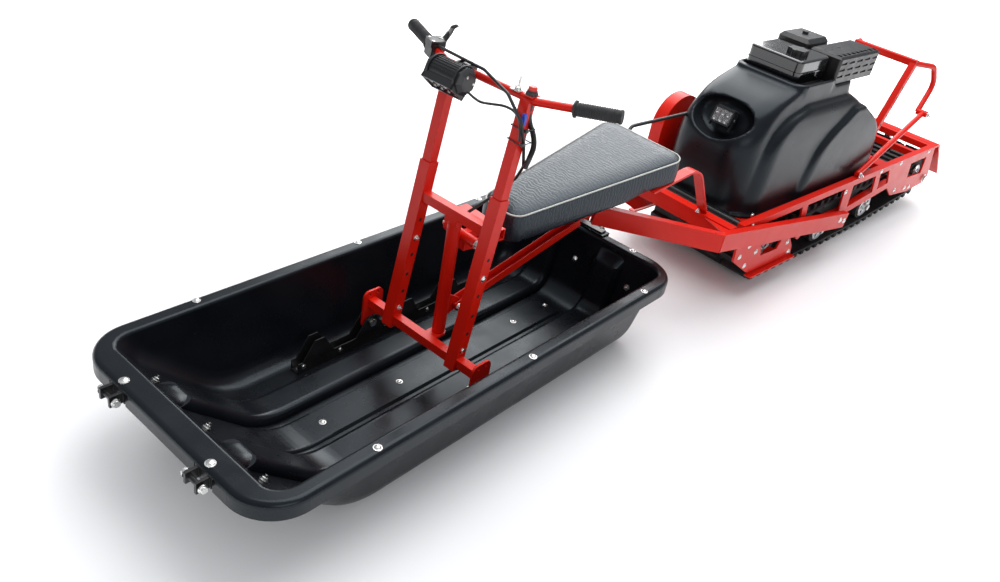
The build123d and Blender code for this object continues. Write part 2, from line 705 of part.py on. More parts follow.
def seat_outline(inset):
    nose = SEAT_NOSE_HALF - inset
    tail = SEAT_TAIL_HALF - inset
    front = SEAT_FRONT - inset
    rear = SEAT_REAR + inset
    outline = Polygon((front, -nose), (front, nose), (rear, tail), (rear, -tail), align=None)
    return fillet(outline.vertices(), 45 - inset / 2)


def seat_slab(inset, low, high):
    """Slab that follows the seat's slope, between two heights over its underside."""
    tilt = math.atan2(SEAT_REAR_TOP - SEAT_FRONT_TOP, SEAT_FRONT - SEAT_REAR)
    up = Vector(math.sin(tilt), 0, math.cos(tilt))
    shift = seat_bottom(0)
    along = Vector(math.cos(tilt), 0, -math.sin(tilt))
    plane = Plane(origin=Vector(0, 0, shift) + up * low, x_dir=along, z_dir=up)
    return extrude(plane * seat_outline(inset), high - low)


def seat_cushion():
    slab = seat_slab(0, 0, SEAT_THICKNESS)
    return fillet(slab.faces().sort_by(Axis.Z)[-1].edges(), 12)


def rear_conduit():
    """Conduit from under the seat's right rear to the hood's nose."""
    y = -150.0
    rest = SEAT_REAR + 52
    points = ((rest, y + 38, seat_bottom(rest) - SEAT_BOARD - CONDUIT_RADIUS - 1.2),
              (SEAT_REAR - 18, y + 38, seat_bottom(SEAT_REAR) - 15), (SEAT_REAR - 103, y + 8, 642),
              (HOOD_DOME[0][1] - 80, y, 634))
    return Pos(SEAT_PLAY, 0, 0) * (cord(points, 40, CONDUIT_RADIUS) - hood_layer(HOOD_DOME))


# Track unit

def track_circles(shrink):
    """Outer circles of the track loop, drawn smaller by a given amount."""
    wheels = [(DRIVE_X, DRIVE_R, DRIVE_R), (IDLER_X, IDLER_Z, IDLER_R)]
    for x, lift in zip(ROAD_X, ROAD_LIFT):
        wheels.append((x, ROAD_R + lift, ROAD_R))
    return [Pos(x, z) * Circle(radius - shrink) for x, z, radius in wheels]


def track_loop(shrink):
    edges = []
    for circle in track_circles(shrink):
        edges += circle.edges()
    return make_hull(edges)


def lug_sketch(start):
    """Row of lugs along the belt's outer line, as a side outline."""
    line = track_loop(LUG_HEIGHT).wire()
    count = round(line.length / LUG_PITCH)
    lugs = Sketch()
    for index in range(count):
        place = (index + start) / count
        point = line.position_at(place)
        along = line.tangent_at(place)
        angle = math.degrees(math.atan2(along.Y, along.X))
        lugs += Pos(point.X, point.Y) * Rot(0, 0, angle) * Rectangle(LUG_WIDTH, 2 * LUG_HEIGHT)
    return (lugs - track_loop(LUG_HEIGHT + BELT / 2)) & track_loop(0)


def track():
    """Belt with a row of lugs along each edge and a staggered row in the middle."""
    half = TRACK_WIDTH / 2
    belt = on_side(track_loop(LUG_HEIGHT) - track_loop(LUG_HEIGHT + BELT), -half, half)
    edge_lugs = lug_sketch(0.25)
    belt += on_side(edge_lugs, LUG_EDGE, half)
    belt += on_side(edge_lugs, -half, -LUG_EDGE)
    return belt + on_side(lug_sketch(0.75), -LUG_MIDDLE, LUG_MIDDLE)


def wheel_rows():
    """Axle places with the radius that runs on the belt."""
    run = LUG_HEIGHT + BELT
    rows = [(DRIVE_X, DRIVE_R, DRIVE_R - run), (IDLER_X, IDLER_Z, IDLER_R - run)]
    for x, lift in zip(ROAD_X, ROAD_LIFT):
        rows.append((x, ROAD_R + lift, ROAD_R - run))
    return rows


def wheel_tyres():
    tyres = []
    for x, z, radius in wheel_rows():
        for side in (-1, 1):
            y0 = side * WHEEL_Y - WHEEL_WIDTH / 2
            tyres.append(rod((x, y0, z), (x, y0 + WHEEL_WIDTH, z), radius - WHEEL_PLAY, HUB_R))
    return tyres


def wheel_axles():
    """Axles with the hubs of their wheels."""
    axles = []
    for x, z, radius in wheel_rows():
        axle = rod((x, -FRAME_INNER, z), (x, FRAME_INNER, z), AXLE_R)
        for side in (-1, 1):
            y0 = side * WHEEL_Y - WHEEL_WIDTH / 2 - 3
            axle += rod((x, y0, z), (x, y0 + WHEEL_WIDTH + 6, z), HUB_R - WHEEL_PLAY)
        axles.append(axle)
    return axles


def side_frame():
    """Left side of the unit's frame: top rail, posts, lower rail and the rear cheek."""
    y0 = FRAME_INNER
    y1 = FRAME_INNER + FRAME_WIDTH
    top = TOP_RAIL_Z + RAIL_TUBE / 2
    frame = block(TOP_RAIL_REAR, TOP_RAIL_FRONT, y0, y1, top - RAIL_TUBE, top)
    low = ((-1740, 228), (-1740, 196), (-2140, 178), (-2660, 226), (-2660, 262), (-2140, 214))
    frame += side_plate(low, y0, y1)
    posts = (
        # upper x, lower x, lower z, width
        (-1300, -1270, 296, 60),
        (-1720, -1770, 205, 46),
        (-2110, -2150, 190, 80),
        (-2420, -2480, 215, 50),
    )
    for upper, lower, z, width in posts:
        outline = ((upper, top - 4), (lower, z), (lower - width, z), (upper - width, top - 4))
        frame += side_plate(outline, y1 - PLATE - 3, y1)
    cheek = ((-2560, top - 4), (-2650, 225), (-2740, 165), (-2960, 140), (-3215, 150),
             (TOP_RAIL_REAR + 10, top - 4))
    window = ((-2850, 320), (-2880, 235), (-3060, 225), (-3040, 320))
    frame += side_plate(cheek, y1 - PLATE - 3, y1) - side_plate(window, y0, y1 + 1)
    bosses = [(IDLER_X, IDLER_Z)] + [(x, CROSS_TUBE_HEIGHT) for x in CROSS_TUBE_X]
    for x, z in bosses:
        frame += rod((x, y0, z), (x, y1, z), AXLE_R + 12)
    return frame


def front_bracket():
    """Left plate that joins the hitch arm, the frame and the drive axle's bearing."""
    y0 = FRAME_INNER + FRAME_WIDTH
    y1 = ARM_Y - ARM_THICKNESS / 2
    low = 105
    outline = ((-1232, 318), (-1246, 214), (-1400, low + 12), (-1762, low), (-1745, 150), (-1700, 200),
               (-1690, 250))
    window = ((-1440, 235), (-1470, 180), (-1600, 175), (-1620, 215))
    plate = side_plate(outline, y0, y1) - side_plate(window, y0 - 1, y1 + 1)
    plate += block(-1762, -1400, y0, y1 + 22, low - 4, low + 2)
    bearing = rod((DRIVE_X, FRAME_INNER, DRIVE_R), (DRIVE_X, y0, DRIVE_R), AXLE_R + 20)
    return plate + bearing


def suspension_rails():
    """Inner beams that carry the road wheel axles, hung on two cross tubes."""
    y0 = 140.0
    outline = ((-1760, 190), (-1760, 150), (-2040, 76), (-2700, 88), (-2900, 150), (-2900, 190))
    rails = Part()
    for y in (-y0, y0):
        rails += side_plate(outline, y - 8, y + 8)
    z = CROSS_TUBE_HEIGHT
    for x in CROSS_TUBE_X:
        rails += rod((x, -FRAME_INNER, z), (x, FRAME_INNER, z), AXLE_R)
    for x, lift in zip(ROAD_X, ROAD_LIFT):
        z = ROAD_R + lift
        rails -= rod((x, -300, z), (x, 300, z), AXLE_R + WHEEL_PLAY)
    return rails


def engine_deck():
    """Tray between the side frames, with upturned edges on the top rails."""
    deck = block(DECK_REAR, DECK_FRONT, -FRAME_INNER, FRAME_INNER, DECK_Z, DECK_Z + PLATE)
    for side in (-1, 1):
        edge = side * FRAME_INNER
        deck += block(DECK_REAR, DECK_FRONT, edge - side * PLATE, edge, DECK_Z, TOP_RAIL_Z)
    return deck


def front_tube():
    x = TOP_RAIL_FRONT - 40
    return rod((x, -FRAME_INNER, TOP_RAIL_Z - 10), (x, FRAME_INNER, TOP_RAIL_Z - 10), 16)


def rear_frame():
    """Two cross members between the side frames."""
    top = TOP_RAIL_Z + RAIL_TUBE / 2
    members = []
    for x in (-2900, TOP_RAIL_REAR + 20):
        members.append(block(x - 15, x + 15, -FRAME_INNER, FRAME_INNER, top - 30, top))
    return members


def rear_bumper():
    """Slanted end plate with two windows."""
    top = TOP_RAIL_Z + RAIL_TUBE / 2
    reach = FRAME_INNER + FRAME_WIDTH
    bend = TOP_RAIL_REAR - 45
    outline = ((TOP_RAIL_REAR, top), (TOP_RAIL_REAR, top - 10), (bend, top - 10), (-3342, 165), (-3350, 170),
               (bend - 10, top))
    window = ((bend + 5, top - 34), (-3262, 205), (-3360, 205), (-3360, top - 34))
    plate = side_plate(outline, -reach, reach)
    for side in (-1, 1):
        plate -= side_plate(window, side * 15, side * (reach - 40))
    return plate


# Hood and engine

def hood_layer(rows):
    """One moulded layer of the hood."""
    faces = [rounded(rear, front, half, radius, z) for z, front, rear, half, radius in rows]
    return loft(faces, ruled=True)


def lamp_axis():
    tilt = math.radians(LAMP_TILT)
    return Vector(math.cos(tilt), 0, math.sin(tilt))


def lamp_pocket(grow):
    """Oval pocket in the hood's nose, drawn larger by a given amount."""
    out = lamp_axis()
    faces = []
    for distance in (LAMP_START, -LAMP_DEPTH - grow):
        plane = Plane(origin=Vector(*LAMP_CENTER) + out * distance, x_dir=(0, 1, 0), z_dir=out)
        spread = grow + distance * math.tan(math.radians(LAMP_TAPER))
        faces.append(plane * Ellipse(LAMP_HALF_WIDTH + spread, LAMP_HALF_HEIGHT + spread))
    return loft(faces, ruled=True)


def hood():
    """Moulded shell in three layers, with the lamp's pocket and an open top round the engine."""
    layers = hood_layer(HOOD_DOME) + hood_layer(HOOD_SHOULDER) + hood_layer(HOOD_FLANK)
    shell = (layers - lamp_pocket(0)) - (hood_layer(HOOD_VOID) - lamp_pocket(HOOD_WALL))
    return shell - block(HOOD_STEP_X, HOOD_DOME[0][2] - 100, -300, 300, HOOD_STEP_Z, ENGINE_TOP + 200)


def hood_lamp():
    """Lamp head on a short stem at the back of the pocket."""
    out = lamp_axis()
    back = Vector(*LAMP_CENTER) - out * LAMP_DEPTH
    stem = rod(back + out * 0.5, back + out * 16, 8)
    plane = Plane(origin=back + out * 15, x_dir=(0, 1, 0), z_dir=out)
    return stem + extrude(plane * RectangleRounded(84, 60, 9), 36)


def engine_block():
    return block(ENGINE_FRONT, ENGINE_REAR, ENGINE_RIGHT, ENGINE_LEFT, DECK_Z + PLATE, ENGINE_TOP)


def fuel_tank():
    """Pressed tank with a seam round its middle."""
    tank = block(TANK_REAR, TANK_FRONT, TANK_RIGHT, TANK_LEFT, ENGINE_TOP, TANK_TOP)
    tank = fillet(tank.edges().filter_by(Axis.Z), 24)
    tank = fillet(tank.faces().sort_by(Axis.Z)[-1].edges(), 10)
    mid = (ENGINE_TOP + TANK_TOP) / 2
    seam = block(TANK_REAR - 4, TANK_FRONT + 4, TANK_RIGHT - 4, TANK_LEFT + 4, mid, mid + 4)
    return tank + fillet(seam.edges().filter_by(Axis.Z), 28)


def fuel_cap():
    """Cap with grip lobes round its edge."""
    outline = Circle(CAP_RADIUS)
    for lobe in range(6):
        outline += Rot(0, 0, 60 * lobe) * Pos(CAP_RADIUS - 2, 0) * Circle(9)
    return Pos(*CAP_PLACE, TANK_TOP) * extrude(outline, CAP_HEIGHT)


def air_box():
    """Filter box with a bevelled lid and its knob."""
    box = block(MUFFLER_FRONT, AIR_BOX_REAR, AIR_BOX_RIGHT, -10, ENGINE_TOP, AIR_BOX_TOP)
    box = fillet(box.edges().filter_by(Axis.Z), 20)
    box = chamfer(box.faces().sort_by(Axis.Z)[-1].edges(), 16)
    middle = ((MUFFLER_FRONT + AIR_BOX_REAR) / 2, (AIR_BOX_RIGHT - 10) / 2)
    return box + Pos(*middle, AIR_BOX_TOP + 5) * Cylinder(13, 12)


def muffler():
    """Guarded muffler with slots in its left face and louvres along its upper edge."""
    box = block(MUFFLER_FRONT, MUFFLER_REAR, 0, MUFFLER_LEFT, ENGINE_TOP, MUFFLER_TOP)
    box = fillet(box.edges().filter_by(Axis.Z), 12)
    box = chamfer(box.faces().sort_by(Axis.Z)[-1].edges(), 9)
    span = MUFFLER_FRONT - MUFFLER_REAR
    for column in range(5):
        x = MUFFLER_FRONT - span * (column + 0.5) / 5
        for row in range(3):
            z = ENGINE_TOP + 24 + 27 * row
            box -= block(x - 24, x + 24, MUFFLER_LEFT - 5, MUFFLER_LEFT + 1, z, z + 9)
    for louvre in range(9):
        x = MUFFLER_FRONT - span * (louvre + 0.5) / 9
        box -= block(x - 11, x + 11, MUFFLER_LEFT - 32, MUFFLER_LEFT - 14, MUFFLER_TOP - 5, MUFFLER_TOP + 1)
    return box


def variator_guard():
    """Drum cover over the belt drive on the right side."""
    y0 = -HOOD_FLANK[0][3] - 8
    y1 = y0 - GUARD_DEPTH
    low = TOP_RAIL_Z + RAIL_TUBE / 2
    drum = rod((GUARD_X, y0, GUARD_Z), (GUARD_X, y1, GUARD_Z), GUARD_RADIUS)
    return drum + block(GUARD_X - GUARD_RADIUS, GUARD_X + GUARD_RADIUS, y1, y0, low, GUARD_Z)


def rear_handle():
    """Slanted posts on a cross member, with the top bar and the bent grab tubes."""
    foot = TOP_RAIL_Z + RAIL_TUBE / 2
    top_x, top_z = HANDLE_TOP
    tube = HANDLE_TUBE
    handle = block(HANDLE_FOOT_X - 54, DECK_REAR - 4, -FRAME_INNER, FRAME_INNER, foot - tube, foot)
    for side in (-1, 1):
        y = side * HANDLE_POST_Y
        handle += beam((HANDLE_FOOT_X, y, foot - 1), (top_x, y, top_z), tube, tube)
        points = ((top_x, side * (HANDLE_POST_Y + 5), top_z), (top_x - 136, side * 195, top_z - 15),
                  (top_x - 225, side * 200, top_z - 110), (STRUT_TOP[0], side * GRAB_Y, STRUT_TOP[1]))
        handle += cord(points, 55, TUBE_RADIUS)
    reach = HANDLE_POST_Y + tube / 2
    return handle + beam((top_x, -reach, top_z), (top_x, reach, top_z), tube, tube)


def strut():
    foot = TOP_RAIL_Z + RAIL_TUBE / 2 + TUBE_RADIUS + 2
    foot_y = FRAME_INNER + FRAME_WIDTH / 2
    top_y = GRAB_Y + 2 * TUBE_RADIUS - 0.5
    return rod((STRUT_TOP[0] - 10, top_y, STRUT_TOP[1]), (STRUT_FOOT_X, foot_y, foot), TUBE_RADIUS)


def export_nodes(nodes, placing):
    for name, shape in nodes.items():
        solids = shape if isinstance(shape, list) else [shape]
        placed = [placing * solid for solid in solids]
        whole = placed[0] if len(placed) == 1 else Compound(placed)
        export_step(whole, f"parts/{name}.step")


def mirrored(shape):
    return mirror(shape, about=Plane.XZ)


os.makedirs("parts", exist_ok=True)

front_nodes = {
    "sled_tub": sled_tub(),
    "sled_keels": sled_keels(),
    "sled_rail_left": sled_rail(),
    "sled_rail_right": mirrored(sled_rail()),
    "sled_clevises": [Pos(0, side * CLEVIS_Y, 0) * sled_clevis() for side in (-1, 1)],
    "sled_latch": sled_latch(),
    "pitch_bolts": both_sides(pitch_bolt()),
    "cheek_plates": both_sides(cheek_plate()),
    "steering_frame": steering_frame(),
    "handlebar": handlebar(),
    "grips": both_sides(grip()),
    "throttle_housing": throttle_housing(),
    "throttle_lever": throttle_lever(),
    "handlebar_lamp": handlebar_lamp(),
    "toggle_switch": toggle_switch(),
    "stop_button": stop_button(),
    "throttle_cable": throttle_cable(),
    "kingpin_bolt": kingpin_bolt(),
}
tow_nodes = {
    "kingpin_tube": kingpin_tube(),
    "seat_beam": seat_beam(),
    "foot_brace": foot_brace(),
    "hitch_arm_left": hitch_arm(),
    "hitch_arm_right": mirrored(hitch_arm()),
    "cross_member": cross_member(),
    "elbow_gussets": both_sides(elbow_gusset()),
    "seat_loops": both_sides(seat_loop()),
    "seat_board": seat_slab(14, -SEAT_BOARD, 0),
    "seat_cushion": seat_cushion(),
    "rear_conduit": rear_conduit(),
    "track": track(),
    "wheel_tyres": wheel_tyres(),
    "wheel_axles": wheel_axles(),
    "suspension_rails": suspension_rails(),
    "side_frame_left": side_frame(),
    "side_frame_right": mirrored(side_frame()),
    "front_bracket_left": front_bracket(),
    "front_bracket_right": mirrored(front_bracket()),
    "engine_deck": engine_deck(),
    "front_tube": front_tube(),
    "rear_frame": rear_frame(),
    "rear_bumper": rear_bumper(),
    "hood": hood(),
    "hood_lamp": hood_lamp(),
    "engine_block": engine_block(),
    "fuel_tank": fuel_tank(),
    "fuel_cap": fuel_cap(),
    "air_box": air_box(),
    "muffler": muffler(),
    "variator_guard": variator_guard(),
    "rear_handle": rear_handle(),
    "struts": both_sides(strut()),
}
export_nodes(front_nodes, FRONT_TURN)
export_nodes(tow_nodes, Pos(0, 0, 0))
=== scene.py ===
import json
import math

import bmesh
import bpy
from mathutils import Matrix, Vector
from mathutils.bvhtree import BVHTree


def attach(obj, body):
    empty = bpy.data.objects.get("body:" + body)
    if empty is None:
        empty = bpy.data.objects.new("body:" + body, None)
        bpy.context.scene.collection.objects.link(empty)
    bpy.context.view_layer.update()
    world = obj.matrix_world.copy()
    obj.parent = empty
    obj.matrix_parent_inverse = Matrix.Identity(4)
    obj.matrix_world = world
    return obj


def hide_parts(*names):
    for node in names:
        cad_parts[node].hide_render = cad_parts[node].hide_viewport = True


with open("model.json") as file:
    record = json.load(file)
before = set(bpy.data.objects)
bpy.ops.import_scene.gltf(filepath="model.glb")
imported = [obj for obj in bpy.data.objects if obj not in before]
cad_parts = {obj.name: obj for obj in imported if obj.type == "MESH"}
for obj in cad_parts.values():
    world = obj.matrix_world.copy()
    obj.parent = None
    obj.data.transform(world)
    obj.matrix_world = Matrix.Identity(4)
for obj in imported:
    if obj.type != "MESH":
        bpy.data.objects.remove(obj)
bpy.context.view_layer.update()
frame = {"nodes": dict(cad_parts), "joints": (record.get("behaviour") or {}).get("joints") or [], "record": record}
nodes = frame["nodes"]

# The front group is drawn straight ahead and turned about the kingpin, as the pitch joint's axis says.
pitch_joint = next(j for j in frame["joints"] if j["name"] == "sled_pitch")
FRONT = Matrix.Rotation(math.atan2(-pitch_joint["axis"][0], pitch_joint["axis"][1]), 4, "Z")
STRAIGHT = Matrix.Identity(4)
PLACING = {"sled": FRONT, "steering": FRONT, "tow": STRAIGHT}
SIDES = (-1, 1)
UP = (0, 0, 1)

# Camera, at the photograph's place, in metres
CAMERA_PLACE = (1.614, 1.598, 1.769)
CAMERA_TURN_DEG = (57.42, -9.44, 136.42)
CAMERA_LENS = 31.33
SENSOR_WIDTH = 36.0
CAMERA_REACH = 100.0


# Places in the part's own drawing, in millimetres: the front group is drawn straight ahead
RIM_TOP = 300.0
FLOOR_TOP = 14.0
PANEL_TOP = 22.0
BAR_X = -53.2
BAR_Z = 980.0
BAR_BEND = Vector((BAR_X, 165.0, BAR_Z))
BAR_END = Vector((BAR_X - 77.0, 380.0, BAR_Z + 26.0))
BUTTON_Y = 148.0
TOGGLE_Y = 100.0
UPRIGHT_FOOT = (76.0, 136.0)
UPRIGHT_LEAN = math.tan(math.radians(8.7))
UPRIGHT_Y = 140.0
UPRIGHT_HALF = 20.0
SEAT_FRONT = -178.0
SEAT_REAR = -882.0
SEAT_FRONT_TOP = 560.0
SEAT_REAR_TOP = 669.0
SEAT_DEPTH = 74.0
SEAT_NOSE_HALF = 78.0
SEAT_TAIL_HALF = 180.0
ROAD_WHEELS = ((-2140.0, 100.0), (-2600.0, 113.0))
END_WHEELS = ((-1600.0, 133.0), (-3140.0, 180.0))
WHEEL_FACE_Y = 238.0
FRAME_FACE_Y = 292.0
ARM_FACE_Y = 331.0
BRACKET_FACE_Y = 301.0
POST_FOOT = Vector((-2526.0, 0.0, 366.0))
POST_TOP = Vector((-2730.0, 0.0, 800.0))
POST_Y = 145.0
POST_HALF = 15.0
STRUT_TOP_X = -2862
STRUT_TOP_Z = 565
LAMP_CENTER = Vector((-1345.0, 0.0, 690.0))
LAMP_TILT = math.radians(23.0)
LAMP_DEPTH = 75.0
LAMP_LENGTH = 51.0


def upright_x(z):
    return UPRIGHT_FOOT[0] - (z - UPRIGHT_FOOT[1]) * UPRIGHT_LEAN


def seat_top(x):
    share = (SEAT_FRONT - x) / (SEAT_FRONT - SEAT_REAR)
    return SEAT_FRONT_TOP + share * (SEAT_REAR_TOP - SEAT_FRONT_TOP)


def smooth_share(share):
    """Eases a share from nothing to one."""
    return share * share * (3.0 - 2.0 * share)


# Material helpers

NOISE_LOW = 0.3
NOISE_HIGH = 0.7
EDGE_SAMPLES = 4


def feed(tree, socket, value):
    """Gives an input a link or a value."""
    if isinstance(value, bpy.types.NodeSocket):
        tree.links.new(value, socket)
    else:
        socket.default_value = value


def add_node(tree, kind, inputs):
    """Adds a node, and feeds its inputs by their names or numbers."""
    node = tree.nodes.new("ShaderNode" + kind)
    for name, value in inputs.items():
        feed(tree, node.inputs[name], value)
    return node


class Paint:
    """A node material under construction, with its Principled shader."""

    def __init__(self, name, color, roughness, metallic=0.0):
        self.material = bpy.data.materials.new(name)
        self.material.use_nodes = True
        self.tree = self.material.node_tree
        self.shader = self.tree.nodes["Principled BSDF"]
        self.place = self.node("TexCoord", {}).outputs["Object"]
        self.normal = None
        self.set(Base_Color=(*color, 1.0), Roughness=roughness, Metallic=metallic)

    def node(self, kind, inputs):
        return add_node(self.tree, kind, inputs)

    def set(self, **values):
        for name, value in values.items():
            feed(self.tree, self.shader.inputs[name.replace("_", " ")], value)
        return self

    def noise(self, scale, detail=3.0):
        inputs = {"Vector": self.place, "Scale": scale, "Detail": detail}
        return self.node("TexNoise", inputs).outputs["Fac"]

    def vary_color(self, source, first, second, start=NOISE_LOW, end=NOISE_HIGH):
        ramp = self.node("ValToRGB", {"Fac": source})
        for element, position, color in zip(ramp.color_ramp.elements, (start, end), (first, second)):
            element.position = position
            element.color = (*color, 1.0)
        self.set(Base_Color=ramp.outputs["Color"])

    def vary_roughness(self, source, low, high):
        inputs = {"Value": source, "From Min": NOISE_LOW, "From Max": NOISE_HIGH,
                  "To Min": low, "To Max": high}
        self.set(Roughness=self.node("MapRange", inputs).outputs["Result"])

    def soft_edges(self, radius):
        """Rounds sharp edges by shading, for rolled and welded steel."""
        bevel = self.node("Bevel", {"Radius": radius})
        bevel.samples = EDGE_SAMPLES
        self.normal = bevel.outputs["Normal"]
        return self.set(Normal=self.normal)

    def bump(self, source, distance, strength=1.0):
        inputs = {"Height": source, "Distance": distance, "Strength": strength}
        if self.normal is not None:
            inputs["Normal"] = self.normal
        self.normal = self.node("Bump", inputs).outputs["Normal"]
        self.set(Normal=self.normal)


COOL_GLOSS = (0.78, 0.91, 1.0, 1.0)


def red_powder_coat():
    paint = Paint("red_powder_coat", (0.66, 0.011, 0.003), 0.36).soft_edges(0.0022)
    paint.vary_color(paint.noise(5.0), (0.63, 0.0095, 0.0025), (0.69, 0.0125, 0.0035))
    paint.vary_roughness(paint.noise(16.0), 0.31, 0.38)
    paint.bump(paint.noise(700.0, detail=2.0), 0.00001)
    return paint.set(Specular_IOR_Level=0.24, Coat_Weight=0.08, Coat_Roughness=0.16).material


def sled_plastic():
    paint = Paint("sled_plastic", (0.005, 0.006, 0.008), 0.3)
    paint.vary_color(paint.noise(5.0, detail=4.0), (0.0035, 0.0042, 0.0058), (0.0065, 0.0076, 0.0102))
    paint.vary_roughness(paint.noise(9.0, detail=6.0), 0.22, 0.36)
    paint.bump(paint.noise(3.0, detail=2.0), 0.003, strength=0.3)
    paint.bump(paint.noise(420.0), 0.00002)
    return paint.set(Specular_IOR_Level=0.3, Specular_Tint=COOL_GLOSS).material


def hood_plastic():
    paint = Paint("hood_plastic", (0.006, 0.0068, 0.0088), 0.36)
    paint.vary_color(paint.noise(6.0), (0.0052, 0.006, 0.0078), (0.0072, 0.0082, 0.0105))
    paint.vary_roughness(paint.noise(14.0, detail=5.0), 0.27, 0.34)
    paint.bump(paint.noise(900.0, detail=2.0), 0.00002)
    return paint.set(Specular_IOR_Level=0.24, Specular_Tint=COOL_GLOSS).material


def black_steel():
    paint = Paint("black_steel", (0.008, 0.008, 0.009), 0.34).soft_edges(0.0015)
    paint.vary_color(paint.noise(14.0), (0.006, 0.006, 0.007), (0.012, 0.012, 0.013))
    paint.vary_roughness(paint.noise(30.0, detail=5.0), 0.26, 0.42)
    paint.bump(paint.noise(600.0, detail=2.0), 0.00002)
    return paint.material


def zinc_steel():
    paint = Paint("zinc_steel", (0.76, 0.76, 0.74), 0.26, 1.0).soft_edges(0.0008)
    paint.vary_color(paint.noise(60.0, detail=4.0), (0.66, 0.66, 0.64), (0.84, 0.84, 0.82))
    paint.vary_roughness(paint.noise(120.0, detail=4.0), 0.18, 0.36)
    return paint.material


def rubber():
    paint = Paint("rubber", (0.012, 0.012, 0.013), 0.66)
    paint.vary_color(paint.noise(26.0, detail=5.0), (0.009, 0.009, 0.010), (0.018, 0.018, 0.019))
    paint.vary_roughness(paint.noise(40.0, detail=4.0), 0.56, 0.76)
    paint.bump(paint.noise(380.0, detail=4.0), 0.0003)
    return paint.material


def vinyl():
    """Glossy grained seat cover with fine wavy creases, its colour painted darker in their troughs and lighter on
    their crests as shade and sheen.
    """
    paint = Paint("vinyl", (0.014, 0.018, 0.024), 0.3)
    waves = {"Vector": paint.place, "Scale": 24.0, "Distortion": 9.0, "Detail": 3.0, "Detail Scale": 1.6}
    crease_relief_and_shade = paint.node("TexWave", waves).outputs["Fac"]
    # Painted shade and sheen: the colour follows the creases' height, darker in the troughs and lighter on the
    # crests.
    paint.vary_color(crease_relief_and_shade, (0.011, 0.014, 0.019), (0.017, 0.0215, 0.029), start=0.0, end=1.0)
    paint.vary_roughness(paint.noise(60.0, detail=4.0), 0.26, 0.36)
    paint.bump(crease_relief_and_shade, 0.0004)
    paint.bump(paint.noise(640.0), 0.00006)
    return paint.set(Specular_IOR_Level=0.4, Specular_Tint=COOL_GLOSS).material


def grained_plastic(name, color, roughness):
    paint = Paint(name, color, roughness).soft_edges(0.001)
    paint.vary_roughness(paint.noise(45.0, detail=4.0), roughness - 0.06, roughness + 0.08)
    paint.bump(paint.noise(650.0), 0.00012)
    return paint.material


def gloss_paint():
    paint = Paint("tank_gloss", (0.006, 0.006, 0.007), 0.12)
    paint.vary_roughness(paint.noise(20.0, detail=4.0), 0.08, 0.16)
    return paint.set(Coat_Weight=0.6, Coat_Roughness=0.04).material


def plain(name, color, roughness, metallic=0.0):
    paint = Paint(name, color, roughness, metallic)
    paint.vary_roughness(paint.noise(80.0), roughness * 0.85, roughness * 1.15)
    return paint.material


def clear_lens():
    paint = Paint("clear_lens", (0.9, 0.92, 0.94), 0.06)
    paint.vary_roughness(paint.noise(50.0, detail=2.0), 0.04, 0.09)
    return paint.set(Transmission_Weight=0.92, IOR=1.45).material


materials = {
    "red_paint": red_powder_coat(),
    "sled_plastic": sled_plastic(),
    "black_steel": black_steel(),
    "zinc_steel": zinc_steel(),
    "rubber": rubber(),
    "black_plastic": grained_plastic("black_plastic", (0.009, 0.009, 0.010), 0.42),
    "lamp_body": grained_plastic("lamp_body", (0.012, 0.013, 0.015), 0.34),
    "red_plastic": grained_plastic("red_plastic", (0.7, 0.02, 0.012), 0.3),
    "vinyl": vinyl(),
    "hood_plastic": hood_plastic(),
    "engine_metal": grained_plastic("engine_metal", (0.02, 0.02, 0.021), 0.5),
    "tank_paint": gloss_paint(),
    "piping": plain("pale_piping", (0.5, 0.5, 0.47), 0.4),
    "cast_silver": plain("cast_silver", (0.6, 0.61, 0.62), 0.3, 1.0),
    "hole": plain("hole_shadow", (0.004, 0.004, 0.004), 0.8),
    "blue_plastic": plain("blue_plastic", (0.01, 0.06, 0.5), 0.35),
    "weld": plain("weld_bead", (0.7, 0.012, 0.006), 0.34),
    "lens": clear_lens(),
    "reflector": plain("dark_reflector", (0.2, 0.19, 0.19), 0.22, 1.0),
}


def dress_cad_nodes():
    for row in frame["record"]["subparts"]:
        mesh = nodes[row["node"]].data
        mesh.materials.clear()
        mesh.materials.append(materials[row["material_slot"]])


dress_cad_nodes()


# Mesh helpers

MM_PER_M = 1000.0
MM = Matrix.Scale(1.0 / MM_PER_M, 4)
CORD_RESOLUTION = 20
WASHER_BACK = -1.0


def add_object(name, data):
    """Puts an object into the scene."""
    thing = bpy.data.objects.new(name, data)
    bpy.context.scene.collection.objects.link(thing)
    return thing


def circle_angles(count):
    return [2 * math.pi * index / count for index in range(count)]


def curve_through(points, steps=8):
    """Smooth line through the points, with a few steps between each pair."""
    points = [Vector(point) for point in points]
    count = len(points)
    line = []
    for index in range(count - 1):
        start, end = points[index], points[index + 1]
        before = points[index - 1] if index else start * 2 - end
        after = points[index + 2] if index + 2 < count else end * 2 - start
        slope = end - before
        square = 2 * before - 5 * start + 4 * end - after
        cube = 3 * start - before - 3 * end + after
        for step in range(steps):
            t = step / steps
            line.append(0.5 * (2 * start + slope * t + square * t ** 2 + cube * t ** 3))
    line.append(points[-1])
    return line


def cord_line(points):
    """Points along a cord, read from a smooth spline whose control points are its route."""
    curve = bpy.data.curves.new("route", "CURVE")
    curve.dimensions = "3D"
    spline = curve.splines.new("NURBS")
    spline.points.add(len(points) - 1)
    for spot, point in zip(spline.points, points):
        spot.co = (*point, 1.0)
    spline.order_u = 3
    spline.use_endpoint_u = True
    spline.resolution_u = CORD_RESOLUTION
    holder = bpy.data.objects.new("route", curve)
    mesh = bpy.data.meshes.new_from_object(holder)
    line = [vertex.co.copy() for vertex in mesh.vertices]
    bpy.data.objects.remove(holder)
    bpy.data.curves.remove(curve)
    bpy.data.meshes.remove(mesh)
    return line


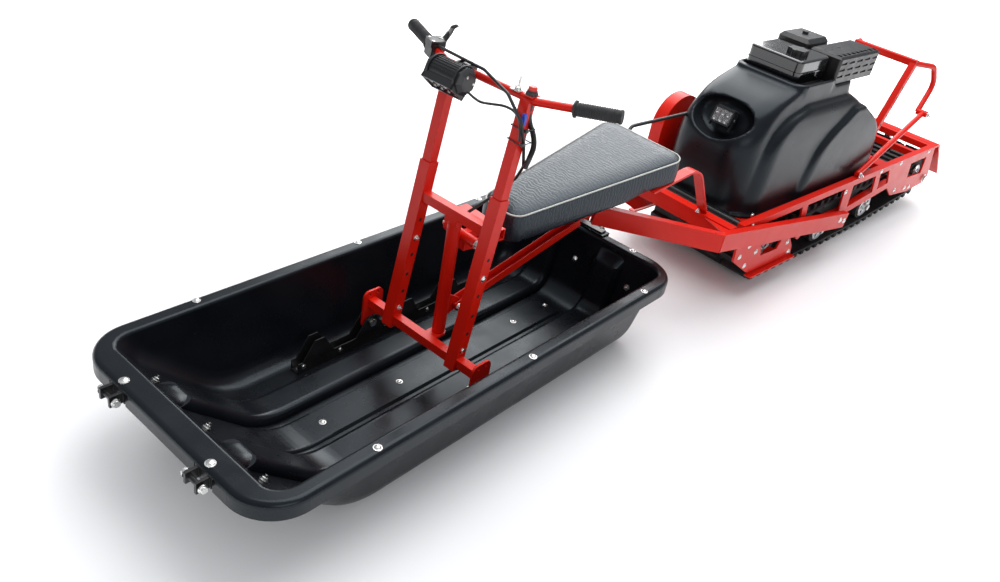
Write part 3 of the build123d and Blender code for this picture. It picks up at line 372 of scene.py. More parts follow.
class Shape:
    """Collects many small solids into one mesh, in millimetres."""

    def __init__(self):
        self.mesh = bmesh.new()

    def skin(self, rings, closed=False):
        """Surface over rings of points, capped at its ends unless it closes on itself."""
        rows = [[self.mesh.verts.new(point) for point in ring] for ring in rings]
        pairs = list(zip(rows, rows[1:]))
        if closed:
            pairs.append((rows[-1], rows[0]))
        for first, second in pairs:
            count = len(first)
            for index in range(count):
                following = (index + 1) % count
                self.mesh.faces.new((first[index], first[following], second[following], second[index]))
        if not closed:
            self.mesh.faces.new(rows[0][::-1])
            self.mesh.faces.new(rows[-1])
        return self

    def lathe(self, place, axis, profile, sides=18):
        """Turned solid from (distance along the axis, radius) rows."""
        turn = Vector(axis).to_track_quat("Z", "Y").to_matrix()
        rings = []
        for along, radius in profile:
            ring = []
            for angle in circle_angles(sides):
                spoke = Vector((radius * math.cos(angle), radius * math.sin(angle), along))
                ring.append(Vector(place) + turn @ spoke)
            rings.append(ring)
        return self.skin(rings)

    def tube(self, points, radius, sides=10, closed=False):
        """Round tube along a line of points. The radius may be a function of the step."""
        points = [Vector(point) for point in points]
        count = len(points)
        rings = []
        across = None
        for index, point in enumerate(points):
            if closed:
                along = points[(index + 1) % count] - points[index - 1]
            else:
                along = points[min(index + 1, count - 1)] - points[max(index - 1, 0)]
            along.normalize()
            if across is None:
                across = along.orthogonal().normalized()
            across = (across - along * across.dot(along)).normalized()
            up = along.cross(across)
            size = radius(index) if callable(radius) else radius
            rings.append([point + size * (math.cos(angle) * across + math.sin(angle) * up)
                          for angle in circle_angles(sides)])
        return self.skin(rings, closed=closed)

    def box(self, low, high, placing=STRAIGHT):
        low, high = Vector(low), Vector(high)
        size = high - low
        matrix = Matrix.Translation((low + high) / 2) @ Matrix.Diagonal((*size, 1.0))
        bmesh.ops.create_cube(self.mesh, size=1.0, matrix=placing @ matrix)
        return self

    def bolt(self, place, axis, radius):
        """Domed head on a washer."""
        washer = radius * 1.35
        profile = ((WASHER_BACK, washer), (1.4, washer), (1.6, radius), (radius * 0.35, radius * 0.95),
                   (radius * 0.6, radius * 0.6), (radius * 0.68, radius * 0.2))
        self.lathe(place, axis, profile, 14)

    def nut(self, place, axis, radius):
        """Hexagon on a washer, with the thread's end standing out of it."""
        axis = Vector(axis).normalized()
        washer = radius * 1.45
        thread = radius * 0.5
        self.lathe(place, axis, ((WASHER_BACK, washer), (1.6, washer)), 18)
        self.lathe(place, axis, ((1.0, radius), (radius * 0.9, radius), (radius * 1.05, radius * 0.8)), 6)
        self.lathe(place, axis, ((1.0, thread), (radius * 1.8, thread)), 10)

    def holes(self, x, y, z, half, radius, sides=18):
        """Dark discs of painted shade that stand for a hole, proud of both faces of a tube on each side of the
        machine.
        """
        for side in SIDES:
            for face in SIDES:
                place = (x, side * y + face * half, z)
                self.lathe(place, (0, face, 0), ((-1, radius), (0.25, radius)), sides)

    def bezel(self, placing, rear, front, half_width, half_height, bar=6):
        """Four bars round a lamp's face, which looks along the placing's X."""
        inner_y = half_width - bar
        inner_z = half_height - bar
        self.box((rear, -half_width, inner_z), (front, half_width, half_height), placing)
        self.box((rear, -half_width, -half_height), (front, half_width, -inner_z), placing)
        self.box((rear, -half_width, -half_height), (front, -inner_y, half_height), placing)
        self.box((rear, inner_y, -half_height), (front, half_width, half_height), placing)

    def to_object(self, name, placing=STRAIGHT):
        """Turns the solids into an object, in metres."""
        self.mesh.transform(placing @ MM)
        bmesh.ops.recalc_face_normals(self.mesh, faces=self.mesh.faces)
        mesh = bpy.data.meshes.new(name)
        self.mesh.to_mesh(mesh)
        self.mesh.free()
        return add_object(name, mesh)

    def build(self, name, material_name, body, smooth_angle=38.0):
        """Makes the piece, which rides on a body."""
        material = materials[material_name]
        piece = self.to_object(name, PLACING[body])
        mesh = piece.data
        mesh.materials.append(material)
        mesh.polygons.foreach_set("use_smooth", [True] * len(mesh.polygons))
        mesh.set_sharp_from_angle(angle=math.radians(smooth_angle))
        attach(piece, body)
        return piece


# Sled fittings

RIM_BOLT_X = (617, 20, -577)
RIM_BOLT_Y = 380
NOSE_BOLT = (943, 183)
TAIL_BOLT = (-778, 199)
PANEL_BOLT_X = (456, 150, -411, -596)
SLED_NUTS = (
    # x, distance from the middle, z, axis: front slope and rear wall
    (834, 232, 216, (-0.662, 0, 0.749)), (-732, 238, 180, (0.987, 0, 0.159)),
)
RAIL_BOLT_X = (352, 205, -22, -190, -372)
RAIL_FLANGE_Y = 240
RAIL_FLANGE_TOP = FLOOR_TOP + 4
RAIL_WEB_Y = 222
RAIL_WEB_BOLT_Z = 38
CLEVIS_PIN = (984, 183, 272)
CLEVIS_HALF = 33
CLEVIS_PIN_ROWS = ((-2, 12), (2, 12), (3, 9), (8, 9))


def sled_fasteners():
    shape = Shape()
    for side in SIDES:
        for x in RIM_BOLT_X:
            shape.bolt((x, side * RIM_BOLT_Y, RIM_TOP), UP, 9)
        shape.bolt((NOSE_BOLT[0], side * NOSE_BOLT[1], RIM_TOP), UP, 10)
        shape.bolt((TAIL_BOLT[0], side * TAIL_BOLT[1], RIM_TOP), UP, 9)
        for x in RAIL_BOLT_X:
            shape.nut((x, side * RAIL_FLANGE_Y, RAIL_FLANGE_TOP), UP, 8)
            shape.bolt((x, side * RAIL_WEB_Y, RAIL_WEB_BOLT_Z), (0, -side, 0), 7)
        x, y, z = CLEVIS_PIN
        for end in SIDES:
            shape.lathe((x, side * y + end * CLEVIS_HALF, z), (0, end, 0), CLEVIS_PIN_ROWS, 16)
    for x in PANEL_BOLT_X:
        shape.bolt((x, 0, PANEL_TOP), UP, 8)
    for x, reach, z, axis in SLED_NUTS:
        for y in (-reach, 0, reach):
            shape.nut((x, y, z), axis, 8)
    shape.build("sled_fasteners", "zinc_steel", "sled")


LATCH_LOOP = (
    (-790, -40, 309), (-812, -40, 306), (-824, -30, 296), (-824, 30, 296), (-812, 40, 306), (-790, 40, 309),
)
LATCH_CLIP = ((-797, -62, 306), (-768, 62, 312))
LATCH_WIRE_RADIUS = 4


def latch_wire():
    """Wire loop that lies on the rear latch plate."""
    shape = Shape().tube(curve_through(LATCH_LOOP, 6), LATCH_WIRE_RADIUS)
    shape.box(*LATCH_CLIP)
    shape.build("latch_wire", "black_steel", "sled")


# Raised strips of the sled's floor: two ridges and the middle panel
RIDGE_Y = 138.0
RIDGE_HALF = 56.5
RIDGE_HEIGHT = 30.5
RIDGE_START_Z = 212.0
RIDGE_EDGE_SHARE = 0.43
RIDGE_FULL_RUN = 20.0
RIDGE_FRONT_FADE = 96.0
RIDGE_REAR_FADE = 52.0
PANEL_HALF = 60.3
PANEL_HEIGHT = 8.3
PANEL_EDGE_SHARE = 0.12
PANEL_FULL_RUN = 250.0
PANEL_FADE = 130.0
STRIP_SINK = 3.0
STRIP_BACK = STRIP_SINK + 0.6
STRIP_BACK_SHARES = (0.6, 0.0, -0.6)
STRIP_END_SINK = 2.0
STRIP_SECTION = 24
EDGE_SOFTENING = 1.6
CLEAR_FLOOR_Y = 71.0
PROBE_Z = RIM_TOP - 8.0
# Start, end and step along X of the lines that are probed on the tub's slopes
RIDGE_FRONT_PROBE = (480.0, 912.0, 4.0)
RIDGE_REAR_PROBE = (-640.0, -757.0, 1.5)
PANEL_PROBE = (458.0, 912.0, 4.0)


def slope_line(start_x, end_x, step):
    """Points up the tub's sloping end between the ridges, found on the tub itself."""
    tree = BVHTree.FromObject(nodes["sled_tub"], bpy.context.evaluated_depsgraph_get())
    back = FRONT.inverted()
    line = []
    count = int(abs(end_x - start_x) / step)
    for index in range(count + 1):
        x = start_x + (end_x - start_x) * index / count
        above = FRONT @ (Vector((x, CLEAR_FLOOR_Y, PROBE_Z)) / MM_PER_M)
        hit = tree.ray_cast(above, -Vector(UP))[0]
        if hit is not None:
            point = back @ hit * MM_PER_M
            line.append(Vector((point.x, 0.0, point.z)))
    return line


def strip_ring(point, out, y, half, rise, rounding):
    """Section of a raised strip: a rounded top on the slope and a flat back sunk into it."""
    ring = []
    for step in range(STRIP_SECTION + 1):
        across = 2.0 * step / STRIP_SECTION - 1.0
        edge = max(0.0, (abs(across) - 1.0 + rounding) / rounding)
        lift = (rise + STRIP_SINK) * math.sqrt(max(0.0, 1.0 - edge * edge)) - STRIP_SINK
        ring.append(point + out * lift + Vector((0.0, y + across * half, 0.0)))
    for across in STRIP_BACK_SHARES:
        ring.append(point - out * STRIP_BACK + Vector((0.0, y + across * half, 0.0)))
    return ring


def strip_end(shape, line, y, half, height, edge_share, start_z, full_run, fade):
    """Runs a raised strip of the floor out into the slope above it."""
    travelled = 0.0
    rings = []
    for index in range(1, len(line) - 1):
        along = (line[index + 1] - line[index - 1]).normalized()
        out = Vector((-along.z, 0.0, along.x)) if along.x > 0 else Vector((along.z, 0.0, -along.x))
        if (line[index] + out * height).z < start_z:
            continue
        if rings:
            travelled += (line[index] - line[index - 1]).length
        share = min(max((travelled - full_run) / fade, 0.0), 1.0)
        rise = height * (1.0 - smooth_share(share)) - STRIP_END_SINK * share
        rounding = edge_share + (1.0 - edge_share) * min(1.0, EDGE_SOFTENING * share)
        rings.append(strip_ring(line[index], out, y, half, rise, rounding))
        if share >= 1.0:
            break
    shape.skin(rings)


def ridge_ends():
    """The floor's ridges and its panel fade out in the raked front, and the ridges in the rear wall."""
    shape = Shape()
    front = slope_line(*RIDGE_FRONT_PROBE)
    rear = slope_line(*RIDGE_REAR_PROBE)
    for side in SIDES:
        ridge = (side * RIDGE_Y, RIDGE_HALF, RIDGE_HEIGHT, RIDGE_EDGE_SHARE, RIDGE_START_Z, RIDGE_FULL_RUN)
        strip_end(shape, front, *ridge, RIDGE_FRONT_FADE)
        strip_end(shape, rear, *ridge, RIDGE_REAR_FADE)
    strip_end(shape, slope_line(*PANEL_PROBE), 0.0, PANEL_HALF, PANEL_HEIGHT, PANEL_EDGE_SHARE, 0.0,
              PANEL_FULL_RUN, PANEL_FADE)
    shape.build("ridge_ends", "sled_plastic", "sled", 60.0)


sled_fasteners()
latch_wire()
ridge_ends()


# Steering fittings

# Rows of distance along the grip and radius
GRIP_END_ROWS = ((-7.0, 12.0), (-6.6, 18.5), (-2.0, 19.5), (2.0, 17.6))
GRIP_RIB_ROWS = ((0.0, 17.5), (1.2, 18.6), (3.8, 18.6), (5.0, 17.5))
GRIP_FLANGE_ROWS = ((116.0, 17.6), (117.0, 23.0), (122.0, 23.0), (124.5, 18.0))
GRIP_RIBS = 16
GRIP_RIB_START = 8.0
GRIP_RIB_PITCH = 6.6


def grip_point(side, distance):
    """Point on a grip's axis, measured inwards from the bar's end."""
    inwards = (BAR_BEND - BAR_END).normalized()
    point = BAR_END + inwards * distance
    return Vector((point.x, side * point.y, point.z))


def grip_ribs():
    profile = list(GRIP_END_ROWS)
    for rib in range(GRIP_RIBS):
        start = GRIP_RIB_START + rib * GRIP_RIB_PITCH
        profile += [(start + along, radius) for along, radius in GRIP_RIB_ROWS]
    profile += GRIP_FLANGE_ROWS
    shape = Shape()
    for side in SIDES:
        along = grip_point(side, 1) - grip_point(side, 0)
        shape.lathe(grip_point(side, 0), along, profile, 28)
    shape.build("grip_ribs", "rubber", "steering")


BAR_LAMP_PLACE = Vector((BAR_X + 62.0, -91.0, BAR_Z - 6.0))
BAR_LAMP_RADIUS = 40.0
BAR_LAMP_HALF = 56.0
BAR_LAMP_TILT = 50.0
BAR_LAMP_FINS = 19
BAR_LAMP_FIN_START = -68.0
BAR_LAMP_FIN_STEP = -12.4
BAR_LAMP_FIN = ((36.0, -BAR_LAMP_HALF, -1.1), (BAR_LAMP_RADIUS, BAR_LAMP_HALF, 1.1))
BAR_LAMP_CAP_GAP = 2.0
BAR_LAMP_CAP_ROWS = ((-6, BAR_LAMP_RADIUS + 0.5), (3, BAR_LAMP_RADIUS + 0.5), (11, 31), (13, 28))
BAR_LAMP_BACK_PLATE = ((34, -54, -30), (37, 54, 30))
BAR_LAMP_CUPS = (
    # x, columns, rows, profile
    37.0, (-39.0, -13.0, 13.0, 39.0), (-13.0, 13.0), ((0, 3), (0.4, 4), (2.6, 9), (3.6, 11.5), (0.2, 12)),
)
BAR_LAMP_SCREW_X = -8.0
BAR_LAMP_SCREW_Z = (-17.0, 17.0)
BAR_LAMP_SCREW_Y = BAR_LAMP_HALF + 15.0
BAR_LAMP_SCREW_ROWS = ((-2, 4.5), (1.5, 4.0), (2.4, 2.0))


def lamp_cups(name, body, placing, x, columns, rows, profile):
    """Reflector cups in rows and columns on a lamp's face, which looks along the placing's X."""
    shape = Shape()
    for y in columns:
        for z in rows:
            shape.lathe(placing @ Vector((x, y, z)), placing.to_3x3() @ Vector((1.0, 0.0, 0.0)), profile)
    shape.build(name, "reflector", body)


def lamp_frame():
    """Axes of the handlebar lamp, its face turned forward and down."""
    return Matrix.Translation(BAR_LAMP_PLACE) @ Matrix.Rotation(math.radians(BAR_LAMP_TILT), 4, "Y")


def handlebar_lamp_fins():
    """Lengthwise fins over the lamp's back, its faceted end caps and the bezel round its face."""
    shape = Shape()
    placing = lamp_frame()
    for fin in range(BAR_LAMP_FINS):
        angle = BAR_LAMP_FIN_START + BAR_LAMP_FIN_STEP * fin
        turn = Matrix.Rotation(math.radians(angle), 4, "Y")
        shape.box(*BAR_LAMP_FIN, placing @ turn)
    for end in SIDES:
        place = placing @ Vector((0.0, end * (BAR_LAMP_HALF + BAR_LAMP_CAP_GAP), 0.0))
        axis = placing.to_3x3() @ Vector((0.0, end, 0.0))
        shape.lathe(place, axis, BAR_LAMP_CAP_ROWS, 8)
    shape.bezel(placing, 22, 44, 58, 33)
    shape.box(*BAR_LAMP_BACK_PLATE, placing)
    shape.build("handlebar_lamp_fins", "lamp_body", "steering", 20.0)


def handlebar_lamp_face():
    """Reflector cups in the lamp's face, and the screws in its end caps."""
    placing = lamp_frame()
    lamp_cups("handlebar_lamp_cups", "steering", placing, *BAR_LAMP_CUPS)
    screws = Shape()
    for end in SIDES:
        for z in BAR_LAMP_SCREW_Z:
            place = placing @ Vector((BAR_LAMP_SCREW_X, end * BAR_LAMP_SCREW_Y, z))
            screws.lathe(place, placing.to_3x3() @ Vector((0.0, end, 0.0)), BAR_LAMP_SCREW_ROWS, 12)
    screws.build("handlebar_lamp_screws", "zinc_steel", "steering")


LAMP_RING_REACH = BAR_LAMP_RADIUS + 1.5
LAMP_RING_RADIUS = 2.8
LAMP_RING_Y = 50.0
LAMP_CLAMP_Y = 22.0
LAMP_CLAMP = ((-19.0, -4.0, -19.0), (24.0, 4.0, 19.0))


def lamp_clamp():
    """Rings round the lamp's ends, and the clamp that holds it on the bar."""
    shape = Shape()
    for end in SIDES:
        middle = BAR_LAMP_PLACE + Vector((0.0, end * LAMP_RING_Y, 0.0))
        ring = [middle + Vector((LAMP_RING_REACH * math.cos(a), 0.0, LAMP_RING_REACH * math.sin(a)))
                for a in circle_angles(32)]
        shape.tube(ring, LAMP_RING_RADIUS, 8, closed=True)
        place = (BAR_X, BAR_LAMP_PLACE.y + end * LAMP_CLAMP_Y, BAR_Z)
        shape.box(*LAMP_CLAMP, Matrix.Translation(place))
    shape.build("lamp_clamp", "black_steel", "steering")


# Throttle, in axes of its own: outwards along the bar, towards the rider, and up
THROTTLE_DISTANCE = 148.0
THROTTLE_BOXES = (
    ((-20.0, -23.5, 8.0), (20.0, 23.5, 26.5)),
    ((-14.0, 18.0, -20.0), (16.0, 27.0, 14.0)),
    ((-24.0, -17.0, -17.0), (24.0, 17.0, 17.0)),
)
THUMB_BLADE = ((6, 20, 16), (3, 32, 30), (-2, 39, 48), (-9, 42, 66), (-18, 50, 76))
THUMB_HALF_WIDTH = 15.0
THUMB_TAPER = 5.0
THUMB_HALF_DEPTH = 4.2
THUMB_HUB = (4, 20, 6)
THUMB_HUB_ROWS = ((0, 13), (18, 13), (21, 9))
THROTTLE_SCREWS = ((-14.0, -15.0, 26.5), (14.0, -15.0, 26.5))


def throttle_frame():
    along = (grip_point(-1, 0.0) - grip_point(-1, 1.0)).normalized()
    out = along.cross(Vector(UP)).normalized()
    up = out.cross(along)
    basis = Matrix((along, out, up)).transposed().to_4x4()
    return Matrix.Translation(grip_point(-1, THROTTLE_DISTANCE)) @ basis


def throttle_lid():
    shape = Shape()
    for low, high in THROTTLE_BOXES:
        shape.box(low, high, throttle_frame())
    shape.build("throttle_lid", "black_plastic", "steering", 30.0)


def thumb_lever():
    """The lever's curved blade, which narrows to its tip, on a round hub."""
    placing = throttle_frame()
    lever = Shape()
    line = curve_through(THUMB_BLADE, 5)
    rings = []
    for index, point in enumerate(line):
        wide = THUMB_HALF_WIDTH - THUMB_TAPER * index / (len(line) - 1)
        rings.append([placing @ (point + Vector((wide * math.cos(a), THUMB_HALF_DEPTH * math.sin(a), 0.0)))
                      for a in circle_angles(14)])
    lever.skin(rings)
    lever.lathe(placing @ Vector(THUMB_HUB), placing.to_3x3() @ Vector(UP), THUMB_HUB_ROWS, 16)
    lever.build("thumb_lever", "tank_paint", "steering", 60.0)


def throttle_screws():
    placing = throttle_frame()
    screws = Shape()
    for place in THROTTLE_SCREWS:
        screws.bolt(placing @ Vector(place), placing.to_3x3() @ Vector(UP), 3.2)
    screws.build("throttle_screws", "zinc_steel", "steering")


BAR_RADIUS = 14.0
TOGGLE_TIP = (BAR_X - 4.0, TOGGLE_Y, BAR_Z + 38.0)
TOGGLE_LEAN = (-0.24, 0, 1)
TOGGLE_ROWS = ((0, 3), (10, 4.2), (12, 2))
COLLAR_ROWS = ((0, 17), (5, 17), (7, 15), (12, 14.5))
BUTTON_TAIL_Z = BAR_Z - 30.0
BUTTON_TAIL_ROWS = ((0, 9), (22, 11), (26, 11))
BUTTON_HEAD_Z = BAR_Z + 24.0
BUTTON_HEAD_ROWS = ((0, 12.5), (10, 12.5), (13, 10), (13.5, 4))


def switch_parts():
    toggle = Shape()
    toggle.nut((BAR_X, TOGGLE_Y, BAR_Z + BAR_RADIUS), UP, 9)
    toggle.lathe(TOGGLE_TIP, TOGGLE_LEAN, TOGGLE_ROWS, 12)
    toggle.build("toggle_parts", "zinc_steel", "steering")
    collar = Shape()
    collar.lathe((BAR_X, BUTTON_Y, BAR_Z + BAR_RADIUS), UP, COLLAR_ROWS, 22)
    collar.lathe((BAR_X, BUTTON_Y, BUTTON_TAIL_Z), UP, BUTTON_TAIL_ROWS, 16)
    collar.build("button_collar", "black_plastic", "steering")
    head = Shape().lathe((BAR_X, BUTTON_Y, BUTTON_HEAD_Z), UP, BUTTON_HEAD_ROWS, 22)
    head.build("button_head", "red_plastic", "steering")


SWITCH_LEAD = (
    (BAR_X, 148, BAR_Z - 28), (BAR_X - 4, 152, BAR_Z - 62), (BAR_X - 14, 168, BAR_Z - 92),
    (BAR_X - 18, 176, BAR_Z - 128), (BAR_X - 16, 170, BAR_Z - 162), (BAR_X - 14, 162, BAR_Z - 196),
)
SWITCH_LEAD_RIPPLE = (6.8, 8.2)
LAMP_LEAD = (
    (BAR_X + 58, -24, BAR_Z - 30), (BAR_X + 48, 6, BAR_Z - 50), (BAR_X + 36, 46, BAR_Z - 44),
    (BAR_X + 28, 88, BAR_Z - 34), (BAR_X + 26, 128, BAR_Z - 38), (BAR_X + 34, 158, BAR_Z - 66),
    (BAR_X + 40, 165, BAR_Z - 104),
)
LAMP_LEAD_RADIUS = 3.6
TIE_Z = (BAR_Z - 74.0, BAR_Z - 112.0)
TIE_RADIUS = 1.7
CONNECTOR = ((BAR_X + 26, 156, BAR_Z - 62), (BAR_X + 36, 166, BAR_Z - 30))


def switch_lead():
    """Ribbed lead from the stop button down to the throttle cable on the upright."""
    shape = Shape().tube(cord_line(SWITCH_LEAD), lambda step: SWITCH_LEAD_RIPPLE[step % 2], 12)
    shape.build("switch_lead", "black_plastic", "steering", 70.0)


def lamp_lead():
    """Thin lead from the lamp's lower edge along the bar to the left upright."""
    shape = Shape().tube(cord_line(LAMP_LEAD), LAMP_LEAD_RADIUS)
    shape.build("lamp_lead", "black_plastic", "steering")


def cable_ties():
    """Ties round the left upright and the leads beside it, with their locks."""
    shape = Shape()
    for z in TIE_Z:
        x = upright_x(z)
        corners = ((x + 19, 121, z), (x + 22, 172, z - 3), (x - 22, 172, z - 3), (x - 19, 121, z))
        shape.tube(corners, TIE_RADIUS, 8, closed=True)
        shape.box((x + 12, 168, z - 5), (x + 22, 178, z + 4))
    shape.build("cable_ties", "black_plastic", "steering")


def connector():
    Shape().box(*CONNECTOR).build("connector", "blue_plastic", "steering")


UPRIGHT_BOLT_Z = (205.0, 450.0)
UPRIGHT_HOLE_Z = (265.0, 325.0, 392.0, 510.0)
UPRIGHT_HOLE_RADIUS = 6
PITCH_BOLT_HEAD = (77, 263, 95)
KINGPIN_HEAD = (0, 0, 569)
KINGPIN_HEAD_ROWS = ((-2, 15), (1, 15), (1.2, 11), (3.0, 11))


def steering_fasteners():
    shape = Shape()
    for side in SIDES:
        for z in UPRIGHT_BOLT_Z:
            x = upright_x(z)
            shape.nut((x, side * (UPRIGHT_Y - UPRIGHT_HALF), z), (0, -side, 0), 7)
            shape.bolt((x, side * (UPRIGHT_Y + UPRIGHT_HALF), z), (0, side, 0), 8)
        x, y, z = PITCH_BOLT_HEAD
        shape.bolt((x, side * y, z), (0, side, 0), 9)
    shape.lathe(KINGPIN_HEAD, UP, KINGPIN_HEAD_ROWS, 6)
    shape.build("steering_fasteners", "zinc_steel", "steering")


def upright_holes():
    """Rows of adjusting holes in the uprights."""
    shape = Shape()
    for z in UPRIGHT_HOLE_Z:
        shape.holes(upright_x(z), UPRIGHT_Y, z, UPRIGHT_HALF, UPRIGHT_HOLE_RADIUS)
    shape.build("upright_holes", "hole", "steering")


grip_ribs()
handlebar_lamp_fins()
handlebar_lamp_face()
lamp_clamp()
throttle_lid()
thumb_lever()
throttle_screws()
switch_parts()
switch_lead()
lamp_lead()
cable_ties()
connector()
steering_fasteners()
upright_holes()


# Seat

SEAT_SKIRT = 94.0
SEAT_TUCK = 9.0
SKIRT_END_X = -735.0
SKIRT_RUN = 110.0
SEAT_CORNER = 45.0
SEAT_LEAST_CORNER = 6.0
CORNER_INSET_SHARE = 0.6
SEAT_CORNER_STEPS = 12
SEAT_END_STEPS = 10
SEAT_SIDE_STEPS = 26
PIPING_RADIUS = 2.7
PIPING_PLACE = (0.3, 0.6)
SEAT_RINGS = (
    # inset, drop below the top plane
    (SEAT_TUCK, SEAT_DEPTH), (SEAT_TUCK, SEAT_SKIRT - 1.0), (4.0, SEAT_SKIRT), (0.0, SEAT_SKIRT - 3.0),
    (-2.5, SEAT_SKIRT - 14.0), (-4.0, 52.0), (-3.5, 30.0), (-2.0, 12.0), (-0.6, 5.0),
    (0.0, 2.5), (2.5, -0.5), (7.0, -3.5), (14.0, -6.5), (24.0, -9.0), (38.0, -11.0), (54.0, -12.2),
    (68.0, -12.6),
)


def skirt_drop(x, drop):
    """The cover hangs lower than the board along the front, and ends level with it above the loops."""
    share = min(max((x - SKIRT_END_X) / SKIRT_RUN, 0.0), 1.0)
    below = max(0.0, drop - SEAT_DEPTH)
    return min(drop, SEAT_DEPTH) + below * smooth_share(share)


def seat_ring(inset, drop):
    """Closed outline of the seat, drawn in by an inset and lowered from its top plane."""
    nose = SEAT_NOSE_HALF - inset
    tail = SEAT_TAIL_HALF - inset
    front = SEAT_FRONT - inset
    rear = SEAT_REAR + inset
    corners = ((front, nose), (front, -nose), (rear, -tail), (rear, tail))
    radius = max(SEAT_CORNER - inset * CORNER_INSET_SHARE, SEAT_LEAST_CORNER)
    ring = []
    for index, corner in enumerate(corners):
        corner = Vector(corner)
        following = Vector(corners[(index + 1) % 4])
        before = (Vector(corners[index - 1]) - corner).normalized()
        after = (following - corner).normalized()
        half_angle = math.acos(max(-1.0, min(1.0, before.dot(after)))) / 2
        reach = radius / math.tan(half_angle)
        middle = corner + (before + after).normalized() * (radius / math.sin(half_angle))
        start = corner + before * reach - middle
        end = corner + after * reach - middle
        turn = math.atan2(start.x * end.y - start.y * end.x, start.dot(end))
        for step in range(SEAT_CORNER_STEPS + 1):
            angle = turn * step / SEAT_CORNER_STEPS
            spoke = Vector((start.x * math.cos(angle) - start.y * math.sin(angle),
                            start.x * math.sin(angle) + start.y * math.cos(angle)))
            ring.append(middle + spoke)
        leave = ring[-1]
        span = (following - leave).length - reach
        count = SEAT_SIDE_STEPS if index % 2 else SEAT_END_STEPS
        for step in range(1, count):
            ring.append(leave + after * span * step / count)
    return [Vector((point.x, point.y, seat_top(point.x) - skirt_drop(point.x, drop))) for point in ring]


def seat():
    """Upholstered seat: a crowned top inside a piped edge, with slightly bulging sides."""
    cover = Shape().skin([seat_ring(inset, drop) for inset, drop in SEAT_RINGS])
    piece = cover.build("seat", "vinyl", "tow", 60.0)
    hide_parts("seat_cushion")
    piping = Shape().tube(seat_ring(*PIPING_PLACE), PIPING_RADIUS, closed=True)
    piping.build("seat_piping", "piping", "tow")


seat()


# Tow fittings

TOW_BOLTS = (
    # x, y, z, head radius: bracket, arm, frame and strut on the left side
    (-1337, BRACKET_FACE_Y, 262, 9), (-1411, BRACKET_FACE_Y, 215, 9), (-1283, BRACKET_FACE_Y, 226, 9),
    (-1352, BRACKET_FACE_Y, 166, 9), (-1682, BRACKET_FACE_Y, 186, 9), (-1725, BRACKET_FACE_Y, 128, 9),
    (-2092, ARM_FACE_Y, 205, 10), (-2138, ARM_FACE_Y, 190, 10), (-2130, FRAME_FACE_Y, 318, 9),
    (-2473, FRAME_FACE_Y, 352, 8), (-2695, FRAME_FACE_Y, 352, 8), (-3035, FRAME_FACE_Y, 352, 8),
    (-2968, FRAME_FACE_Y, 165, 9), (-2905, FRAME_FACE_Y, 172, 9), (-2765, FRAME_FACE_Y, 190, 9),
    (-1320, FRAME_FACE_Y, 352, 8),
)
TOW_NUTS = (
    # x, y, z, radius: kingpin, foot brace, strut's top and strut's foot on the left side
    (-36, 67, 503, 10), (-48, 26, 248, 9), (STRUT_TOP_X, 261, STRUT_TOP_Z, 9), (-2226, 290, 382, 9),
)
AXLE_END_ROWS = ((-1, 24), (3, 24), (4, 17), (12, 17), (14, 12))
HOOD_BOLT = (-1432, 226, 336)
LOOP_NUT_X = (-1118, -1166)
LOOP_NUT_Y = 155
LOOP_NUT_Z = 397


def tow_fasteners():
    shape = Shape()
    for side in SIDES:
        for x, y, z, radius in TOW_BOLTS:
            shape.bolt((x, side * y, z), (0, side, 0), radius)
        for x, y, z, radius in TOW_NUTS:
            shape.nut((x, side * y, z), (0, side, 0), radius)
        x, z = END_WHEELS[1]
        shape.lathe((x, side * FRAME_FACE_Y, z), (0, side, 0), AXLE_END_ROWS, 6)
        x, y, z = HOOD_BOLT
        shape.bolt((x, side * y, z), (0.5, side, 0.25), 8)
        for x in LOOP_NUT_X:
            shape.nut((x, side * LOOP_NUT_Y, LOOP_NUT_Z), UP, 7)
    shape.build("tow_fasteners", "zinc_steel", "tow")


POST_HOLE_SHARES = (0.34, 0.44, 0.54, 0.64, 0.74, 0.84)
POST_HOLE_RADIUS = 5


def post_holes():
    """Rows of adjusting holes in the rear handle's posts."""
    shape = Shape()
    for share in POST_HOLE_SHARES:
        place = POST_FOOT.lerp(POST_TOP, share)
        shape.holes(place.x, POST_Y, place.z, POST_HALF, POST_HOLE_RADIUS, 16)
    shape.build("post_holes", "hole", "tow")


WHEEL_RIM_ROWS = ((-4, 55), (3, 55), (5, 52), (5, 47), (1.5, 43), (1.0, 20), (9, 17), (11, 8))
RIM_WINDOWS = 5
RIM_WINDOW_REACH = 32
RIM_WINDOW_ROWS = ((-1, 8.5), (0.6, 8.5))
RIM_WINDOW_Y = WHEEL_FACE_Y + 1.0


def wheel_rims():
    """Cast rims with five windows, over the hubs of all wheels; the windows are dark discs of painted shade."""
    rims = Shape()
    windows = Shape()
    for x, z in ROAD_WHEELS + END_WHEELS:
        for side in SIDES:
            axis = (0, side, 0)
            rims.lathe((x, side * WHEEL_FACE_Y, z), axis, WHEEL_RIM_ROWS, 30)
            for angle in circle_angles(RIM_WINDOWS):
                place = (x + RIM_WINDOW_REACH * math.cos(angle), side * RIM_WINDOW_Y,
                         z + RIM_WINDOW_REACH * math.sin(angle))
                windows.lathe(place, axis, RIM_WINDOW_ROWS, 16)
    rims.build("wheel_rims", "cast_silver", "tow")
    windows.build("rim_windows", "hole", "tow")


WELD_LINES = (
    # start and end on the left side: the elbow's face and top, and the rear handle's joint
    ((-1040, 331.5, 404), (-1040, 331.5, 332)),
    ((-1012, 303, 409), (-1062, 318, 401)),
    ((-2723, 130, 784), (-2752, 130, 790)),
)
WELD_STEPS = 20
WELD_RIPPLE = (2.6, 3.4)


